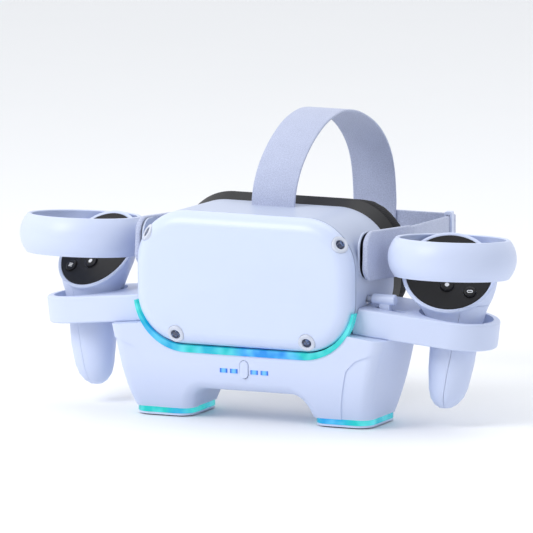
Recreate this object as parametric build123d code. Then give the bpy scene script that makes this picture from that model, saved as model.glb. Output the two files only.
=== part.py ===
from build123d import *
import os
from math import atan2, cos, degrees, radians, sin, sqrt

# A virtual reality set: a visor on straps, two hand controllers and the charging
# dock that carries them all. Millimetres, +Z up, the front faces -Y, and left and
# right are as seen from the front. Until the last lines Y is the depth behind the
# visor's front face; the export then centres the whole set on the origin.

# ---- visor ----
VISOR_WIDTH = 173.0          # at the front face
VISOR_HEIGHT = 100.0
VISOR_CORNER = 38.0
VISOR_BACK_WIDTH = 178.0     # at the back of the housing
VISOR_BACK_HEIGHT = 97.0
VISOR_BACK_CORNER = 44.0
VISOR_DEPTH = 82.0
VISOR_BOTTOM = 57.0          # height of its underside above the table
COVER_DEPTH = 14.0
COVER_ROUND = 12.0
VISOR_WALL = 2.5
CAMERA_RADIUS = 6.6
CAMERA_LENS_RADIUS = 3.3
EYE_SPACING = 63.0
EYE_TRAVEL = 2.5
BARREL_RADIUS = 24.0
BARREL_DEPTH = 34.0
FACE_FRAME_DEPTH = 14.0
FACE_FRAME_WALL = 13.0
CUSHION_DEPTH = 24.0
CUSHION_MIDDLE = 8.0         # how far the cushion stands out over the brow
FACE_RADIUS = 120.0

# ---- straps ----
STRAP_HALF_WIDTH = 91.0      # centre of the side arms
STRAP_ARM_THICK = 3.2
STRAP_THICK = 2.6
STRAP_REACH = 256.0          # depth of the strap behind the head
STRAP_REAR_HALF = 66.0
STRAP_HEIGHT = 37.0
STRAP_REAR_HEIGHT = 34.0
STRAP_FALL = 0.083           # drop per millimetre of depth
STRAP_BEND_DEPTH = 110.0
PIVOT_DEPTH = 50.0
PIVOT_HEIGHT = 127.0
PIVOT_RADIUS = 6.0
TOP_STRAP_WIDTH = 35.0
TOP_STRAP_THICK = 2.0
TOP_STRAP_RISE = 216.0
TOP_STRAP_ROOT = 62.0        # depth where it leaves the housing

# ---- dock ----
FOOT_SPAN = 143.8            # between the foot centres
FOOT_WIDTH = 46.0
FOOT_DEPTH = 56.0
FOOT_CORNER = 12.0
FOOT_MIDDLE = 48.0           # depth of the foot centres
PAD_THICK = 1.0
PLATE_THICK = 1.6
FOOT_LIGHT_HEIGHT = 4.2
SHOULDER_HALF = 112.0
DOCK_TOP = 80.0
DOCK_FRONT = 8.0
DOCK_BACK = 85.0
WAIST_HEIGHT = 45.0          # where the front and back turn in towards the feet
BRIDGE_HEIGHT = 24.4
BRIDGE_CORNER = 12.0
DOCK_EDGE = 9.0
DOCK_WALL = 3.0
PANEL_PROUD = 0.8
PANEL_DEPTH = 34.0
LIGHT_WIDTH = 5.0
LIGHT_TIP_WIDTH = 1.6
LIGHT_TOP = 88.0
LIGHT_DEPTH = 6.6
BUTTON_WIDTH = 6.7
BUTTON_HEIGHT = 13.2
BUTTON_Z = 41.2
INDICATOR_WIDTH = 5.9
INDICATOR_HEIGHT = 3.2
INDICATOR_Z = 39.6
INDICATOR_PITCH = 8.2

# ---- controller arms ----
HOLDER_X = 146.2
HOLDER_DEPTH = 61.0
HOLDER_Z = 73.5              # middle of the arm at the hole
HOLDER_RADIUS = 33.0
HOLE_RADIUS = 27.8
ARM_THICK = 20.0
ARM_DROOP = 7.0              # degrees
ARM_FRONT = 18.0
ARM_BACK = 85.0
ARM_WALL = 2.6
PLUG_DEPTH = 35.0            # where the charging plug meets the visor's side
PLUG_Z = 96.0
PLUG_RADIUS = 4.0
PLUG_TRAVEL = 8.0

# ---- controllers ----
FACE_X = 141.9
FACE_RADIUS_PLATE = 32.0
FACE_RIM = 3.0
FACE_DEPTH = 60.6
FACE_Z = 115.3
FACE_LEAN = 41.0             # degrees back from upright
FACE_TURN = 21.0             # degrees outwards from straight ahead
HEAD_THICK = 18.0
HEAD_BACK_RADIUS = 25.0
RING_X = 148.5
RING_DEPTH = 50.5
RING_Z = 127.7
RING_RADIUS = 47.6
RING_RIM_RADIUS = 42.0
RING_HEIGHT = 29.0
RING_WALL = 4.0
RING_TILT = 4.5
GRIP_WALL = 2.2
GRIP_SECTIONS = [            # height, X, depth, half width, half depth
    (104, 146.3, 76, 17.5, 16.0),
    (84, 146.2, 66.5, 18.4, 19.0),
    (64, 145.8, 61.5, 18.0, 18.0),
    (42, 144.2, 58.5, 16.6, 16.0),
    (25, 142.3, 57.0, 13.4, 13.0),
    (14.5, 141.0, 56.4, 6.5, 6.5),
]
COVER_TOP_Z = 92.0
COVER_TOP_X = 157.0
COVER_TIP_Z = 17.0
COVER_TIP_X = 142.7
CELL_RADIUS = 7.0
CELL_LENGTH = 48.0
STICK_PLACE = (-12.0, 12.0)  # on the face, inwards and upwards
STICK_CAP = 9.0
STICK_PIVOT = 6.5            # below the face
UPPER_PLACE = (9.0, 3.5)
LOWER_PLACE = (-1.4, -11.8)
MENU_PLACE = (15.6, -17.6)
KEY_RADIUS = 5.0
MENU_RADIUS = 4.4
KEY_PROUD = 1.6
TRIGGER_WIDTH = 15.0
TRIGGER_PIVOT = (85.0, 105.0)
GRIP_KEY_Z = 78.0
GRIP_KEY_DEPTH = 64.0

# ---- clearances ----
SADDLE_GAP = 0.6
RUNNING = 0.35
SEAT = 0.05


def upright(depth, height=0.0):
    """A plane facing the viewer, with local X to the right and local Y up."""
    return Plane(origin=(0, depth, height), x_dir=(1, 0, 0), z_dir=(0, -1, 0))


def tube_x(radius, x0, x1, depth, height):
    """A round bar along X."""
    length = abs(x1 - x0)
    return Location(((x0 + x1) / 2, depth, height), (0, 90, 0)) * Cylinder(radius, length)


def block(x0, x1, d0, d1, z0, z1):
    """A box given by its limits."""
    return Location(((x0 + x1) / 2, (d0 + d1) / 2, (z0 + z1) / 2)) * Box(x1 - x0, d1 - d0, z1 - z0)


def mirrored(part):
    """The same piece for the other side."""
    return mirror(part, about=Plane.YZ)


def pair(part):
    return Compound(children=[*part.solids(), *mirrored(part).solids()])


# ---------------------------------------------------------------- visor
VISOR_MIDDLE = VISOR_BOTTOM + VISOR_HEIGHT / 2


def visor_outline(depth, grow=0.0):
    """The visor's rounded outline at a depth, grown or shrunk evenly."""
    share = depth / VISOR_DEPTH
    width = VISOR_WIDTH + (VISOR_BACK_WIDTH - VISOR_WIDTH) * share + 2 * grow
    height = VISOR_HEIGHT + (VISOR_BACK_HEIGHT - VISOR_HEIGHT) * share + 2 * grow
    corner = VISOR_CORNER + (VISOR_BACK_CORNER - VISOR_CORNER) * share + grow
    return upright(depth, VISOR_MIDDLE) * RectangleRounded(width, height, corner)


def visor_block(depth0, depth1, grow=0.0):
    return loft([visor_outline(depth0, grow), visor_outline(depth1, grow)], ruled=True)


def camera_spots():
    """Where the four cameras sit on the cover's rounded edge, each facing outwards."""
    spots = []
    for side in (-1, 1):
        for row, swing, tilt in ((1, 35, 60), (-1, 82, 22)):
            radial = VISOR_CORNER - COVER_ROUND + COVER_ROUND * sin(radians(tilt))
            across, up = cos(radians(swing)), sin(radians(swing))
            place = (
                side * (VISOR_WIDTH / 2 - VISOR_CORNER + radial * across),
                COVER_ROUND - COVER_ROUND * cos(radians(tilt)),
                VISOR_MIDDLE + row * (VISOR_HEIGHT / 2 - VISOR_CORNER + radial * up),
            )
            facing = (
                side * sin(radians(tilt)) * across,
                -cos(radians(tilt)),
                row * sin(radians(tilt)) * up,
            )
            spots.append(Plane(origin=place, x_dir=(1, 0, 0.01), z_dir=facing))
    return spots


BEZEL_HEIGHT = 3.2
BEZEL_PROUD = -0.3
LENS_RECESS = 1.5


def camera_bezel(spot):
    body = Location((0, 0, BEZEL_PROUD - BEZEL_HEIGHT / 2)) * Cylinder(CAMERA_RADIUS, BEZEL_HEIGHT)
    body = chamfer(body.faces().sort_by(Axis.Z)[-1].edges(), 0.5)
    recess = Location((0, 0, BEZEL_PROUD)) * Cylinder(CAMERA_LENS_RADIUS, 2 * LENS_RECESS)
    return spot * (body - recess)


def camera_lens(spot):
    body = Location((0, 0, BEZEL_PROUD - LENS_RECESS / 2 - 0.1)) * Cylinder(
        CAMERA_LENS_RADIUS - SEAT, LENS_RECESS - 0.2)
    return spot * fillet(body.faces().sort_by(Axis.Z)[-1].edges(), 0.6)


def front_cover():
    outer = visor_block(0, COVER_DEPTH)
    outer = fillet(outer.faces().sort_by(Axis.Y)[0].edges(), COVER_ROUND)
    inner = visor_block(VISOR_WALL, COVER_DEPTH, -VISOR_WALL)
    inner = fillet(inner.faces().sort_by(Axis.Y)[0].edges(), COVER_ROUND - VISOR_WALL)
    cover = outer - inner
    for spot in camera_spots():
        cover -= spot * Cylinder(CAMERA_RADIUS + SEAT, 4 * BEZEL_HEIGHT)
    return cover


def side_at(depth):
    """Half the visor's width at a depth."""
    return (VISOR_WIDTH + (VISOR_BACK_WIDTH - VISOR_WIDTH) * depth / VISOR_DEPTH) / 2


def housing():
    outer = visor_block(COVER_DEPTH, VISOR_DEPTH)
    outer = fillet(outer.faces().sort_by(Axis.Y)[-1].edges(), 1.5)
    shell = outer - visor_block(COVER_DEPTH, VISOR_DEPTH, -VISOR_WALL)
    reach = STRAP_HALF_WIDTH + 5
    shell -= tube_x(PIVOT_RADIUS + 0.25, -reach, reach, PIVOT_DEPTH, PIVOT_HEIGHT)
    shell -= tube_x(PLUG_RADIUS + SEAT, 60, reach, PLUG_DEPTH, PLUG_Z)
    shell -= tube_x(POWER_KEY_RADIUS + RUNNING, -reach, -60, POWER_KEY_DEPTH, POWER_KEY_Z)
    return shell


POWER_KEY_RADIUS = 3.5
POWER_KEY_DEPTH = 66.0
POWER_KEY_Z = 99.0
PUCK_THICK = 3.0


def headset_power_key():
    face = -side_at(POWER_KEY_DEPTH) - 0.8
    return tube_x(POWER_KEY_RADIUS, face, face + 4.2, POWER_KEY_DEPTH, POWER_KEY_Z)


def magnetic_puck():
    face = side_at(PLUG_DEPTH) - 0.2
    return tube_x(PLUG_RADIUS, face - PUCK_THICK, face, PLUG_DEPTH, PLUG_Z)


BOARD_THICK = 1.6
DISPLAY_FRONT = 34.0
DISPLAY_THICK = 3.0
BARREL_FRONT = DISPLAY_FRONT + DISPLAY_THICK + 1.0
PLATE_FRONT = VISOR_DEPTH - 3.0


def main_board():
    return block(-70, 70, 18, 18 + BOARD_THICK, 72, 144)


def headset_cell():
    return block(-40, 40, 21, 31, 84, 134)


def display_panel():
    return block(-72, 72, DISPLAY_FRONT, DISPLAY_FRONT + DISPLAY_THICK, 74, 142)


LENS_THICK = 8.0


def barrel(side):
    """A lens tube, open at both ends, with a shoulder that the lens rests on."""
    outer = upright(BARREL_FRONT) * Circle(BARREL_RADIUS)
    tube = extrude(outer, -BARREL_DEPTH)
    bore = extrude(upright(BARREL_FRONT) * Circle(BARREL_RADIUS - 3), -BARREL_DEPTH)
    seat = extrude(upright(BARREL_FRONT + BARREL_DEPTH - LENS_THICK) * Circle(BARREL_RADIUS - 1.6),
                   -LENS_THICK)
    return Location((side * EYE_SPACING / 2, 0, VISOR_MIDDLE)) * (tube - bore - seat)


def eye_lens(side):
    disc = extrude(upright(BARREL_FRONT + BARREL_DEPTH - LENS_THICK + SEAT)
                   * Circle(BARREL_RADIUS - 1.6 - SEAT), -(LENS_THICK - 2))
    disc = fillet(disc.faces().sort_by(Axis.Y)[-1].edges(), 2.5)
    return Location((side * EYE_SPACING / 2, 0, VISOR_MIDDLE)) * disc


# The face frame is one moulding: a ring behind the housing and a plate that
# the two lens tubes slide in.
FRAME_BACK = VISOR_DEPTH + FACE_FRAME_DEPTH
FRAME_WIDTH = 177.0
FRAME_HEIGHT = 100.0
FRAME_CORNER = 42.0
FRAME_Z = 109.5


def frame_outline(depth, width, height, corner, middle=FRAME_Z):
    return upright(depth, middle) * RectangleRounded(width, height, corner)


def face_frame():
    ring = loft([visor_outline(VISOR_DEPTH, -0.6),
                 frame_outline(FRAME_BACK, FRAME_WIDTH, FRAME_HEIGHT, FRAME_CORNER)], ruled=True)
    width = FRAME_WIDTH - 2 * FACE_FRAME_WALL
    height = FRAME_HEIGHT - 2 * FACE_FRAME_WALL
    corner = FRAME_CORNER - FACE_FRAME_WALL
    ring -= extrude(frame_outline(VISOR_DEPTH - 1, width, height, corner), -FACE_FRAME_DEPTH - 2)
    spigot = visor_block(PLATE_FRONT, VISOR_DEPTH, -VISOR_WALL - 0.2)
    part = ring + spigot
    for side in (-1, 1):
        slot = SlotCenterToCenter(2 * EYE_TRAVEL, 2 * (BARREL_RADIUS + RUNNING))
        centre = Plane(origin=(side * EYE_SPACING / 2, PLATE_FRONT - 1, VISOR_MIDDLE),
                       x_dir=(1, 0, 0), z_dir=(0, -1, 0))
        part -= extrude(centre * slot, -(FACE_FRAME_DEPTH + 6))
    return part


def face_cushion():
    outer = frame_outline(FRAME_BACK, FRAME_WIDTH - 4, FRAME_HEIGHT - 2, FRAME_CORNER - 1)
    width = FRAME_WIDTH - 2 * FACE_FRAME_WALL - 6
    height = FRAME_HEIGHT - 2 * FACE_FRAME_WALL - 4
    inner = frame_outline(FRAME_BACK, width, height, FRAME_CORNER - FACE_FRAME_WALL)
    ring = extrude(outer - inner, -CUSHION_DEPTH)
    face = Location((0, FRAME_BACK + CUSHION_MIDDLE + FACE_RADIUS, FRAME_Z)) * Cylinder(
        FACE_RADIUS, 2 * FRAME_HEIGHT)
    nose = Location((0, FRAME_BACK + CUSHION_DEPTH / 2, FRAME_Z - FRAME_HEIGHT / 2), (90, 0, 0)) \
        * Cylinder(24, 2 * CUSHION_DEPTH)
    return ring - face - nose


# ---------------------------------------------------------------- straps
def strap_middle(depth):
    """Height of the side strap's centre line."""
    return PIVOT_HEIGHT - STRAP_FALL * (depth - PIVOT_DEPTH)


def strap_ribbon(thickness):
    """The strap seen from above, standing tall."""
    route = FilletPolyline(
        (-STRAP_HALF_WIDTH, 10), (-STRAP_HALF_WIDTH, STRAP_BEND_DEPTH),
        (-STRAP_REAR_HALF, STRAP_REACH), (STRAP_REAR_HALF, STRAP_REACH),
        (STRAP_HALF_WIDTH, STRAP_BEND_DEPTH), (STRAP_HALF_WIDTH, 10),
        radius=[60, 13, 13, 60])
    return extrude(Plane.XY * trace(route, thickness), 200)


STRAP_ARM_FRONT = 20.0
STRAP_JOIN = 120.0


def strap_side(depth0, depth1, height0, height1):
    """The strap's outline seen from the side, cut through its whole width."""
    points = [(depth0, strap_middle(depth0) - height0 / 2), (depth1, strap_middle(depth1) - height1 / 2),
              (depth1, strap_middle(depth1) + height1 / 2), (depth0, strap_middle(depth0) + height0 / 2)]
    return extrude(Plane.YZ * make_face(Polyline(*points, close=True)), 120, both=True)


def strap_arm():
    side = strap_side(STRAP_ARM_FRONT, STRAP_JOIN, STRAP_HEIGHT, STRAP_HEIGHT)
    side = fillet(side.edges().filter_by(Axis.X).group_by(Axis.Y)[0], 12)
    arm = strap_ribbon(STRAP_ARM_THICK) & side & block(60, 120, 0, 200, 0, 250)
    pin = tube_x(PIVOT_RADIUS, side_at(PIVOT_DEPTH) - VISOR_WALL - 1.2, STRAP_HALF_WIDTH,
                 PIVOT_DEPTH, PIVOT_HEIGHT)
    return arm + pin


def rear_strap():
    side = strap_side(STRAP_JOIN, STRAP_REACH + 10, STRAP_HEIGHT - 1, STRAP_REAR_HEIGHT)
    return strap_ribbon(STRAP_THICK) & side


SLIDER_WIDTH = 7.0
SLIDER_BACK = 25.0


def strap_slider():
    """A flat loop around the strap just in front of its rear corner."""
    along = (STRAP_HALF_WIDTH - STRAP_REAR_HALF) / (STRAP_REACH - STRAP_BEND_DEPTH)
    depth = STRAP_REACH - SLIDER_BACK
    x = STRAP_REAR_HALF + along * (STRAP_REACH - depth)
    height = STRAP_REAR_HEIGHT + 6
    bar = Box(STRAP_THICK + 3.2, SLIDER_WIDTH, height) - Box(STRAP_THICK + 0.4, 20, height - 4)
    bar = fillet(bar.edges().filter_by(Axis.Y).group_by(Axis.Z)[-1], 1.0)
    lean = degrees(atan2(STRAP_HALF_WIDTH - STRAP_REAR_HALF, STRAP_REACH - STRAP_BEND_DEPTH))
    return Location((x, depth, strap_middle(depth) + 0.2), (0, 0, lean)) * bar


def top_strap():
    rise = TOP_STRAP_RISE - TOP_STRAP_THICK / 2
    start = VISOR_MIDDLE + VISOR_HEIGHT / 2 - 1.0
    end = strap_middle(STRAP_REACH) + STRAP_REAR_HEIGHT / 2 + 0.6
    route = Spline(
        (TOP_STRAP_ROOT, start), (TOP_STRAP_ROOT + 5, start + 15), (TOP_STRAP_ROOT + 23, rise - 23),
        (TOP_STRAP_ROOT + 54, rise - 6), (TOP_STRAP_ROOT + 95, rise), (TOP_STRAP_ROOT + 143, rise - 12),
        (STRAP_REACH - 19, rise - 32), (STRAP_REACH - 5, rise - 57), (STRAP_REACH, end))
    return extrude(Plane.YZ * trace(route, TOP_STRAP_THICK), TOP_STRAP_WIDTH / 2, both=True)


# ---------------------------------------------------------------- dock
FOOT_TOP = PAD_THICK + PLATE_THICK + FOOT_LIGHT_HEIGHT
FOOT_OUTER = FOOT_SPAN / 2 + FOOT_WIDTH / 2
FOOT_INNER = FOOT_SPAN / 2 - FOOT_WIDTH / 2
FOOT_FRONT = FOOT_MIDDLE - FOOT_DEPTH / 2
FOOT_BACK = FOOT_MIDDLE + FOOT_DEPTH / 2


def dock_front_view(grow):
    """Legs, bridge and shoulders seen from the front."""
    outer_low = FOOT_OUTER + grow
    outer_high = SHOULDER_HALF + grow
    inner_low = FOOT_INNER - grow
    inner_high = FOOT_INNER - 5 - grow
    bridge = BRIDGE_HEIGHT - grow
    outline = Polyline(
        (-outer_low, FOOT_TOP), (-inner_low, FOOT_TOP), (-inner_high, bridge), (inner_high, bridge),
        (inner_low, FOOT_TOP), (outer_low, FOOT_TOP), (outer_high, DOCK_TOP), (-outer_high, DOCK_TOP),
        close=True)
    face = make_face(outline)
    corners = face.vertices().filter_by(lambda v: abs(v.Y - bridge) < 0.01)
    return fillet(corners, BRIDGE_CORNER)


def dock_side_view(grow):
    """The same body seen from the side, turning in below the waist."""
    fall = WAIST_HEIGHT - FOOT_TOP
    front, back = DOCK_FRONT - grow, DOCK_BACK + grow
    foot_front, foot_back = FOOT_FRONT - grow, FOOT_BACK + grow
    front_turn = ((foot_front - front) ** 2 + fall ** 2) / (2 * (foot_front - front))
    back_turn = ((back - foot_back) ** 2 + fall ** 2) / (2 * (back - foot_back))
    lines = [
        RadiusArc((foot_front, FOOT_TOP), (front, WAIST_HEIGHT), front_turn),
        Line((front, WAIST_HEIGHT), (front, DOCK_TOP)),
        Line((front, DOCK_TOP), (back, DOCK_TOP)),
        Line((back, DOCK_TOP), (back, WAIST_HEIGHT)),
        RadiusArc((back, WAIST_HEIGHT), (foot_back, FOOT_TOP), back_turn),
        Line((foot_back, FOOT_TOP), (foot_front, FOOT_TOP)),
    ]
    return make_face(lines)


def dock_block(grow=0.0):
    front = Plane.XZ * dock_front_view(grow)
    side = Plane.YZ * dock_side_view(grow)
    body = extrude(front, -150, both=False) & extrude(side, 150, both=True)
    middle = (DOCK_FRONT + DOCK_BACK) / 2
    edges = []
    for edge in body.edges():
        centre = edge.center()
        low = edge.bounding_box().min.Z > DOCK_TOP - 0.1
        flat = edge.bounding_box().max.Z < FOOT_TOP + 0.1
        across = abs(centre.Y - middle) < 5
        seam = abs(centre.X) < 1 and centre.Z > BRIDGE_HEIGHT + 5
        if not (low or flat or across or seam):
            edges.append(edge)
    return fillet(edges, max(DOCK_EDGE + grow, 1.0))


def visor_cutter(gap):
    """The space that the visor needs, open upwards."""
    space = visor_block(-20, VISOR_DEPTH + 40, gap)
    top = block(-side_at(VISOR_DEPTH) - gap, side_at(VISOR_DEPTH) + gap,
                -20, VISOR_DEPTH + 40, VISOR_MIDDLE, VISOR_MIDDLE + 100)
    return space + top


def arm_plane():
    """The right arm's own frame, at the hole, with local X running outwards."""
    droop = radians(ARM_DROOP)
    return Plane(origin=(HOLDER_X, HOLDER_DEPTH, HOLDER_Z),
                 x_dir=(cos(droop), 0, -sin(droop)), z_dir=(sin(droop), 0, cos(droop)))


def above_arms(drop):
    """Everything above the underside of both arms, lowered by drop."""
    slab = arm_plane() * Location((0, 0, -ARM_THICK / 2 - drop + 50)) * Box(400, 400, 100)
    right = slab & block(0, 400, -200, 400, -100, 400)
    return right + mirrored(right)


def panel_region():
    """The front panel seen from the front: chest, shoulders and the inner legs."""
    half = [
        (0, 0), (FOOT_SPAN / 2, 0), (FOOT_SPAN / 2 + 1, FOOT_TOP), (FOOT_OUTER - 15, 38),
        (FOOT_OUTER - 13.5, 45), (FOOT_OUTER - 6, 53), (FOOT_OUTER + 6, 57.5), (SHOULDER_HALF + 8, 61),
        (SHOULDER_HALF + 8, 100), (0, 100),
    ]
    side = make_face(Polyline(*half, close=True))
    inner = side.vertices().filter_by(
        lambda v: FOOT_OUTER - 16 < v.X < FOOT_OUTER + 7 and 30 < v.Y < 59)
    side = fillet(inner, 5)
    face = side + mirror(side, about=Plane.YZ)
    return extrude(upright(DOCK_FRONT - 10) * face, -(PANEL_DEPTH - DOCK_FRONT + 10))


def light_outline(grow):
    """The lit band around the visor's lower half, wide below and thin at its tips."""
    inner = visor_outline(DOCK_FRONT, SADDLE_GAP - grow)
    width = VISOR_WIDTH + 2 * (SADDLE_GAP + LIGHT_TIP_WIDTH + grow)
    bottom = VISOR_BOTTOM - SADDLE_GAP - LIGHT_WIDTH - grow
    outer = upright(DOCK_FRONT, bottom + 100) * RectangleRounded(width, 200, VISOR_CORNER + 4)
    return outer - inner


def saddle_light(grow=0.0):
    start = DOCK_FRONT - PANEL_PROUD - 0.8
    band = extrude(Location((0, start - DOCK_FRONT, 0)) * light_outline(grow), -LIGHT_DEPTH)
    return band - block(-200, 200, -50, 200, LIGHT_TOP, 400)


def saddle_cavity():
    return dock_block(-DOCK_WALL) - visor_cutter(SADDLE_GAP + DOCK_WALL) - above_arms(DOCK_WALL)


def pill(width, height, depth0, depth1, x=0.0, z=0.0):
    """An upright rounded bar pointing back."""
    shape = Rot(0, 0, 90) * SlotOverall(height, width)
    return extrude(upright(depth0) * Location((x, z)) * shape, -(depth1 - depth0))


PANEL_FACE = DOCK_FRONT - PANEL_PROUD


def dock_button():
    key = pill(BUTTON_WIDTH, BUTTON_HEIGHT, PANEL_FACE - 0.6, PANEL_FACE + 4.4, 0, BUTTON_Z)
    return fillet(key.faces().sort_by(Axis.Y)[0].edges(), 0.5)


def indicators(grow=0.0):
    lights = []
    for place in (-2, -1, 1, 2):
        x = place * INDICATOR_PITCH
        lights.append(block(x - INDICATOR_WIDTH / 2 - grow, x + INDICATOR_WIDTH / 2 + grow,
                            PANEL_FACE - (5 if grow else 0.1), PANEL_FACE + (8 if grow else 2.4),
                            INDICATOR_Z - INDICATOR_HEIGHT / 2 - grow,
                            INDICATOR_Z + INDICATOR_HEIGHT / 2 + grow))
    return lights


def front_shell():
    outer = dock_block(PANEL_PROUD) - visor_cutter(SADDLE_GAP) - above_arms(0)
    shell = (outer & panel_region()) - saddle_cavity()
    shell -= saddle_light(SEAT)
    shell -= pill(BUTTON_WIDTH + 2 * RUNNING, BUTTON_HEIGHT + 2 * RUNNING, 0, 20, 0, BUTTON_Z)
    for light in indicators(SEAT):
        shell -= light
    return shell


SCREW_ACROSS = 12.0
SCREW_ALONG = 17.0
SCREW_RADIUS = 1.5
SCREW_HEAD_RADIUS = 2.8
BOSS_RADIUS = 4.0
BOSS_TOP = 22.0
RIB_THICK = 2.4
SCREW_LENGTH = 15.0
SCREW_HEAD_THICK = 0.9
SOCKET_Z = 40.0
SOCKET_WIDTH = 9.2
SOCKET_HEIGHT = 3.4


def screw_spots():
    return [(FOOT_SPAN / 2 + a * SCREW_ACROSS, FOOT_MIDDLE + b * SCREW_ALONG)
            for a in (-1, 1) for b in (-1, 1)]


def socket_shape(grow, depth0, depth1):
    shape = SlotOverall(SOCKET_WIDTH + 2 * grow, SOCKET_HEIGHT + 2 * grow)
    return extrude(upright(depth0, SOCKET_Z) * shape, -(depth1 - depth0))


def leg_posts():
    """Screw bosses inside the right leg, tied together by thin ribs."""
    half = RIB_THICK / 2
    posts = block(FOOT_INNER + 1, FOOT_OUTER + 2, FOOT_MIDDLE + SCREW_ALONG - half,
                  FOOT_MIDDLE + SCREW_ALONG + half, FOOT_TOP, BOSS_TOP)
    for side in (-1, 1):
        x = FOOT_SPAN / 2 + side * SCREW_ACROSS
        posts += block(x - half, x + half, FOOT_MIDDLE - SCREW_ALONG, FOOT_BACK + 1, FOOT_TOP, BOSS_TOP)
    tall = BOSS_TOP - FOOT_TOP
    for x, depth in screw_spots():
        posts += Location((x, depth, FOOT_TOP + tall / 2)) * Cylinder(BOSS_RADIUS, tall)
    posts &= dock_block(-DOCK_WALL / 2)
    for x, depth in screw_spots():
        posts -= Location((x, depth, FOOT_TOP)) * Cylinder(SCREW_RADIUS, 2 * (tall - 3))
    return posts - (panel_region() - saddle_cavity())


def main_shell():
    outer = dock_block() - visor_cutter(SADDLE_GAP) - above_arms(0)
    shell = outer - saddle_cavity() - panel_region()
    shell -= socket_shape(SEAT, DOCK_BACK - 10, DOCK_BACK + 10)
    posts = leg_posts()
    return shell + posts + mirrored(posts)


def foot_slab(z0, z1, shrink=0.0):
    shape = RectangleRounded(FOOT_WIDTH - 2 * shrink, FOOT_DEPTH - 2 * shrink, FOOT_CORNER - shrink)
    return extrude(Plane.XY.offset(z0) * Location((FOOT_SPAN / 2, FOOT_MIDDLE)) * shape, z1 - z0)


def rubber_foot():
    return foot_slab(0, PAD_THICK, 3)


def foot_plate():
    plate = foot_slab(PAD_THICK, PAD_THICK + PLATE_THICK, 0.3)
    for x, depth in screw_spots():
        plate -= Location((x, depth, PAD_THICK)) * Cylinder(SCREW_HEAD_RADIUS + 0.1, 2 * SCREW_HEAD_THICK)
        plate -= Location((x, depth, PAD_THICK)) * Cylinder(SCREW_RADIUS + 0.1, 10)
    return plate


def foot_light():
    ring = foot_slab(PAD_THICK + PLATE_THICK, FOOT_TOP) - foot_slab(0, FOOT_TOP + 1, 3.5)
    return ring


def dock_screw_set():
    screws = []
    for x, depth in screw_spots():
        head = Location((x, depth, PAD_THICK + SCREW_HEAD_THICK / 2)) * Cylinder(
            SCREW_HEAD_RADIUS, SCREW_HEAD_THICK)
        shank = Location((x, depth, PAD_THICK + SCREW_LENGTH / 2)) * Cylinder(
            SCREW_RADIUS - 0.02, SCREW_LENGTH)
        screws.append(head + shank)
    return screws


DOCK_BOARD_SET = 6.5         # behind the panel's face
DOCK_BOARD_HALF = 40.0
DOCK_BOARD_HEIGHTS = (31.0, 50.0)


def dock_board():
    front = PANEL_FACE + DOCK_BOARD_SET
    return block(-DOCK_BOARD_HALF, DOCK_BOARD_HALF, front, front + BOARD_THICK, *DOCK_BOARD_HEIGHTS)


def power_socket():
    body = socket_shape(0, DOCK_BACK - 7, DOCK_BACK)
    hole = socket_shape(-0.5, DOCK_BACK - 6, DOCK_BACK + 1)
    tongue = block(-3.2, 3.2, DOCK_BACK - 6.5, DOCK_BACK - 1.2, SOCKET_Z - 0.4, SOCKET_Z + 0.4)
    return body - hole + tongue


# ---------------------------------------------------------------- controller arms
CONTACT_OUT = 4.6            # how far the contact pad stands in from the hole's wall


def arm_outline(grow=0.0):
    inner = HOLDER_X - side_at(DOCK_BACK) + 6
    foot = Location((-inner + 6, (ARM_FRONT + ARM_BACK) / 2 - HOLDER_DEPTH)) * Rectangle(
        12, ARM_BACK - ARM_FRONT + 2 * grow)
    return make_hull((foot + Circle(HOLDER_RADIUS + grow)).edges())


def arm_core():
    """The right arm with its handle hole, contact pad and concave inner end."""
    frame = arm_plane()
    body = extrude(arm_outline(), ARM_THICK / 2, both=True)
    rim = body.faces().sort_by(Axis.Z)[-1].edges() + body.faces().sort_by(Axis.Z)[0].edges()
    body = fillet(rim, 1.6)
    hollow = extrude(arm_outline(-ARM_WALL), ARM_THICK / 2 - ARM_WALL, both=True)
    hollow -= Cylinder(HOLE_RADIUS + ARM_WALL, 2 * ARM_THICK)
    hole = Cylinder(HOLE_RADIUS, 2 * ARM_THICK)
    pad = Location((0, HOLE_RADIUS - CONTACT_OUT / 2 + 0.6, 0)) * Box(14, CONTACT_OUT + 1.2, 9)
    body = body - hole + pad
    hollow = (frame * hollow) - visor_cutter(SADDLE_GAP + ARM_WALL)
    hollow -= block(0, PLUG_SLOT_END + 3, PLUG_DEPTH - 7, PLUG_DEPTH + 7, 0, 200)
    arm = (frame * body) - visor_cutter(SADDLE_GAP) - hollow
    for pin in contact_pins():
        arm -= pin
    return arm


PLUG_TIP = side_at(PLUG_DEPTH) + 0.2
PLUG_BARREL = PLUG_TIP + 4.0
PLUG_END = PLUG_BARREL + 18.0
PLUG_FOOT = (PLUG_BARREL + 6.0, PLUG_BARREL + 14.0)
PLUG_FOOT_HALF = 2.6
PLUG_SLOT_FLOOR = 84.5
PLUG_SLOT_END = PLUG_FOOT[1] + PLUG_TRAVEL + 4.0


def right_arm():
    slot_length = PLUG_SLOT_END - PLUG_FOOT[0] + 2 * RUNNING + PLUG_FOOT_HALF
    shape = SlotOverall(slot_length, 2 * (PLUG_FOOT_HALF + RUNNING))
    start = PLUG_FOOT[0] - PLUG_FOOT_HALF - RUNNING
    slot = extrude(Plane.XY.offset(PLUG_SLOT_FLOOR) * Location((start + slot_length / 2, PLUG_DEPTH))
                   * shape, 30)
    relief = tube_x(PLUG_RADIUS + 0.5, 60, PLUG_END + PLUG_TRAVEL + 1, PLUG_DEPTH, PLUG_Z)
    return arm_core() - slot - relief


def left_arm():
    return mirrored(arm_core())


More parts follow.
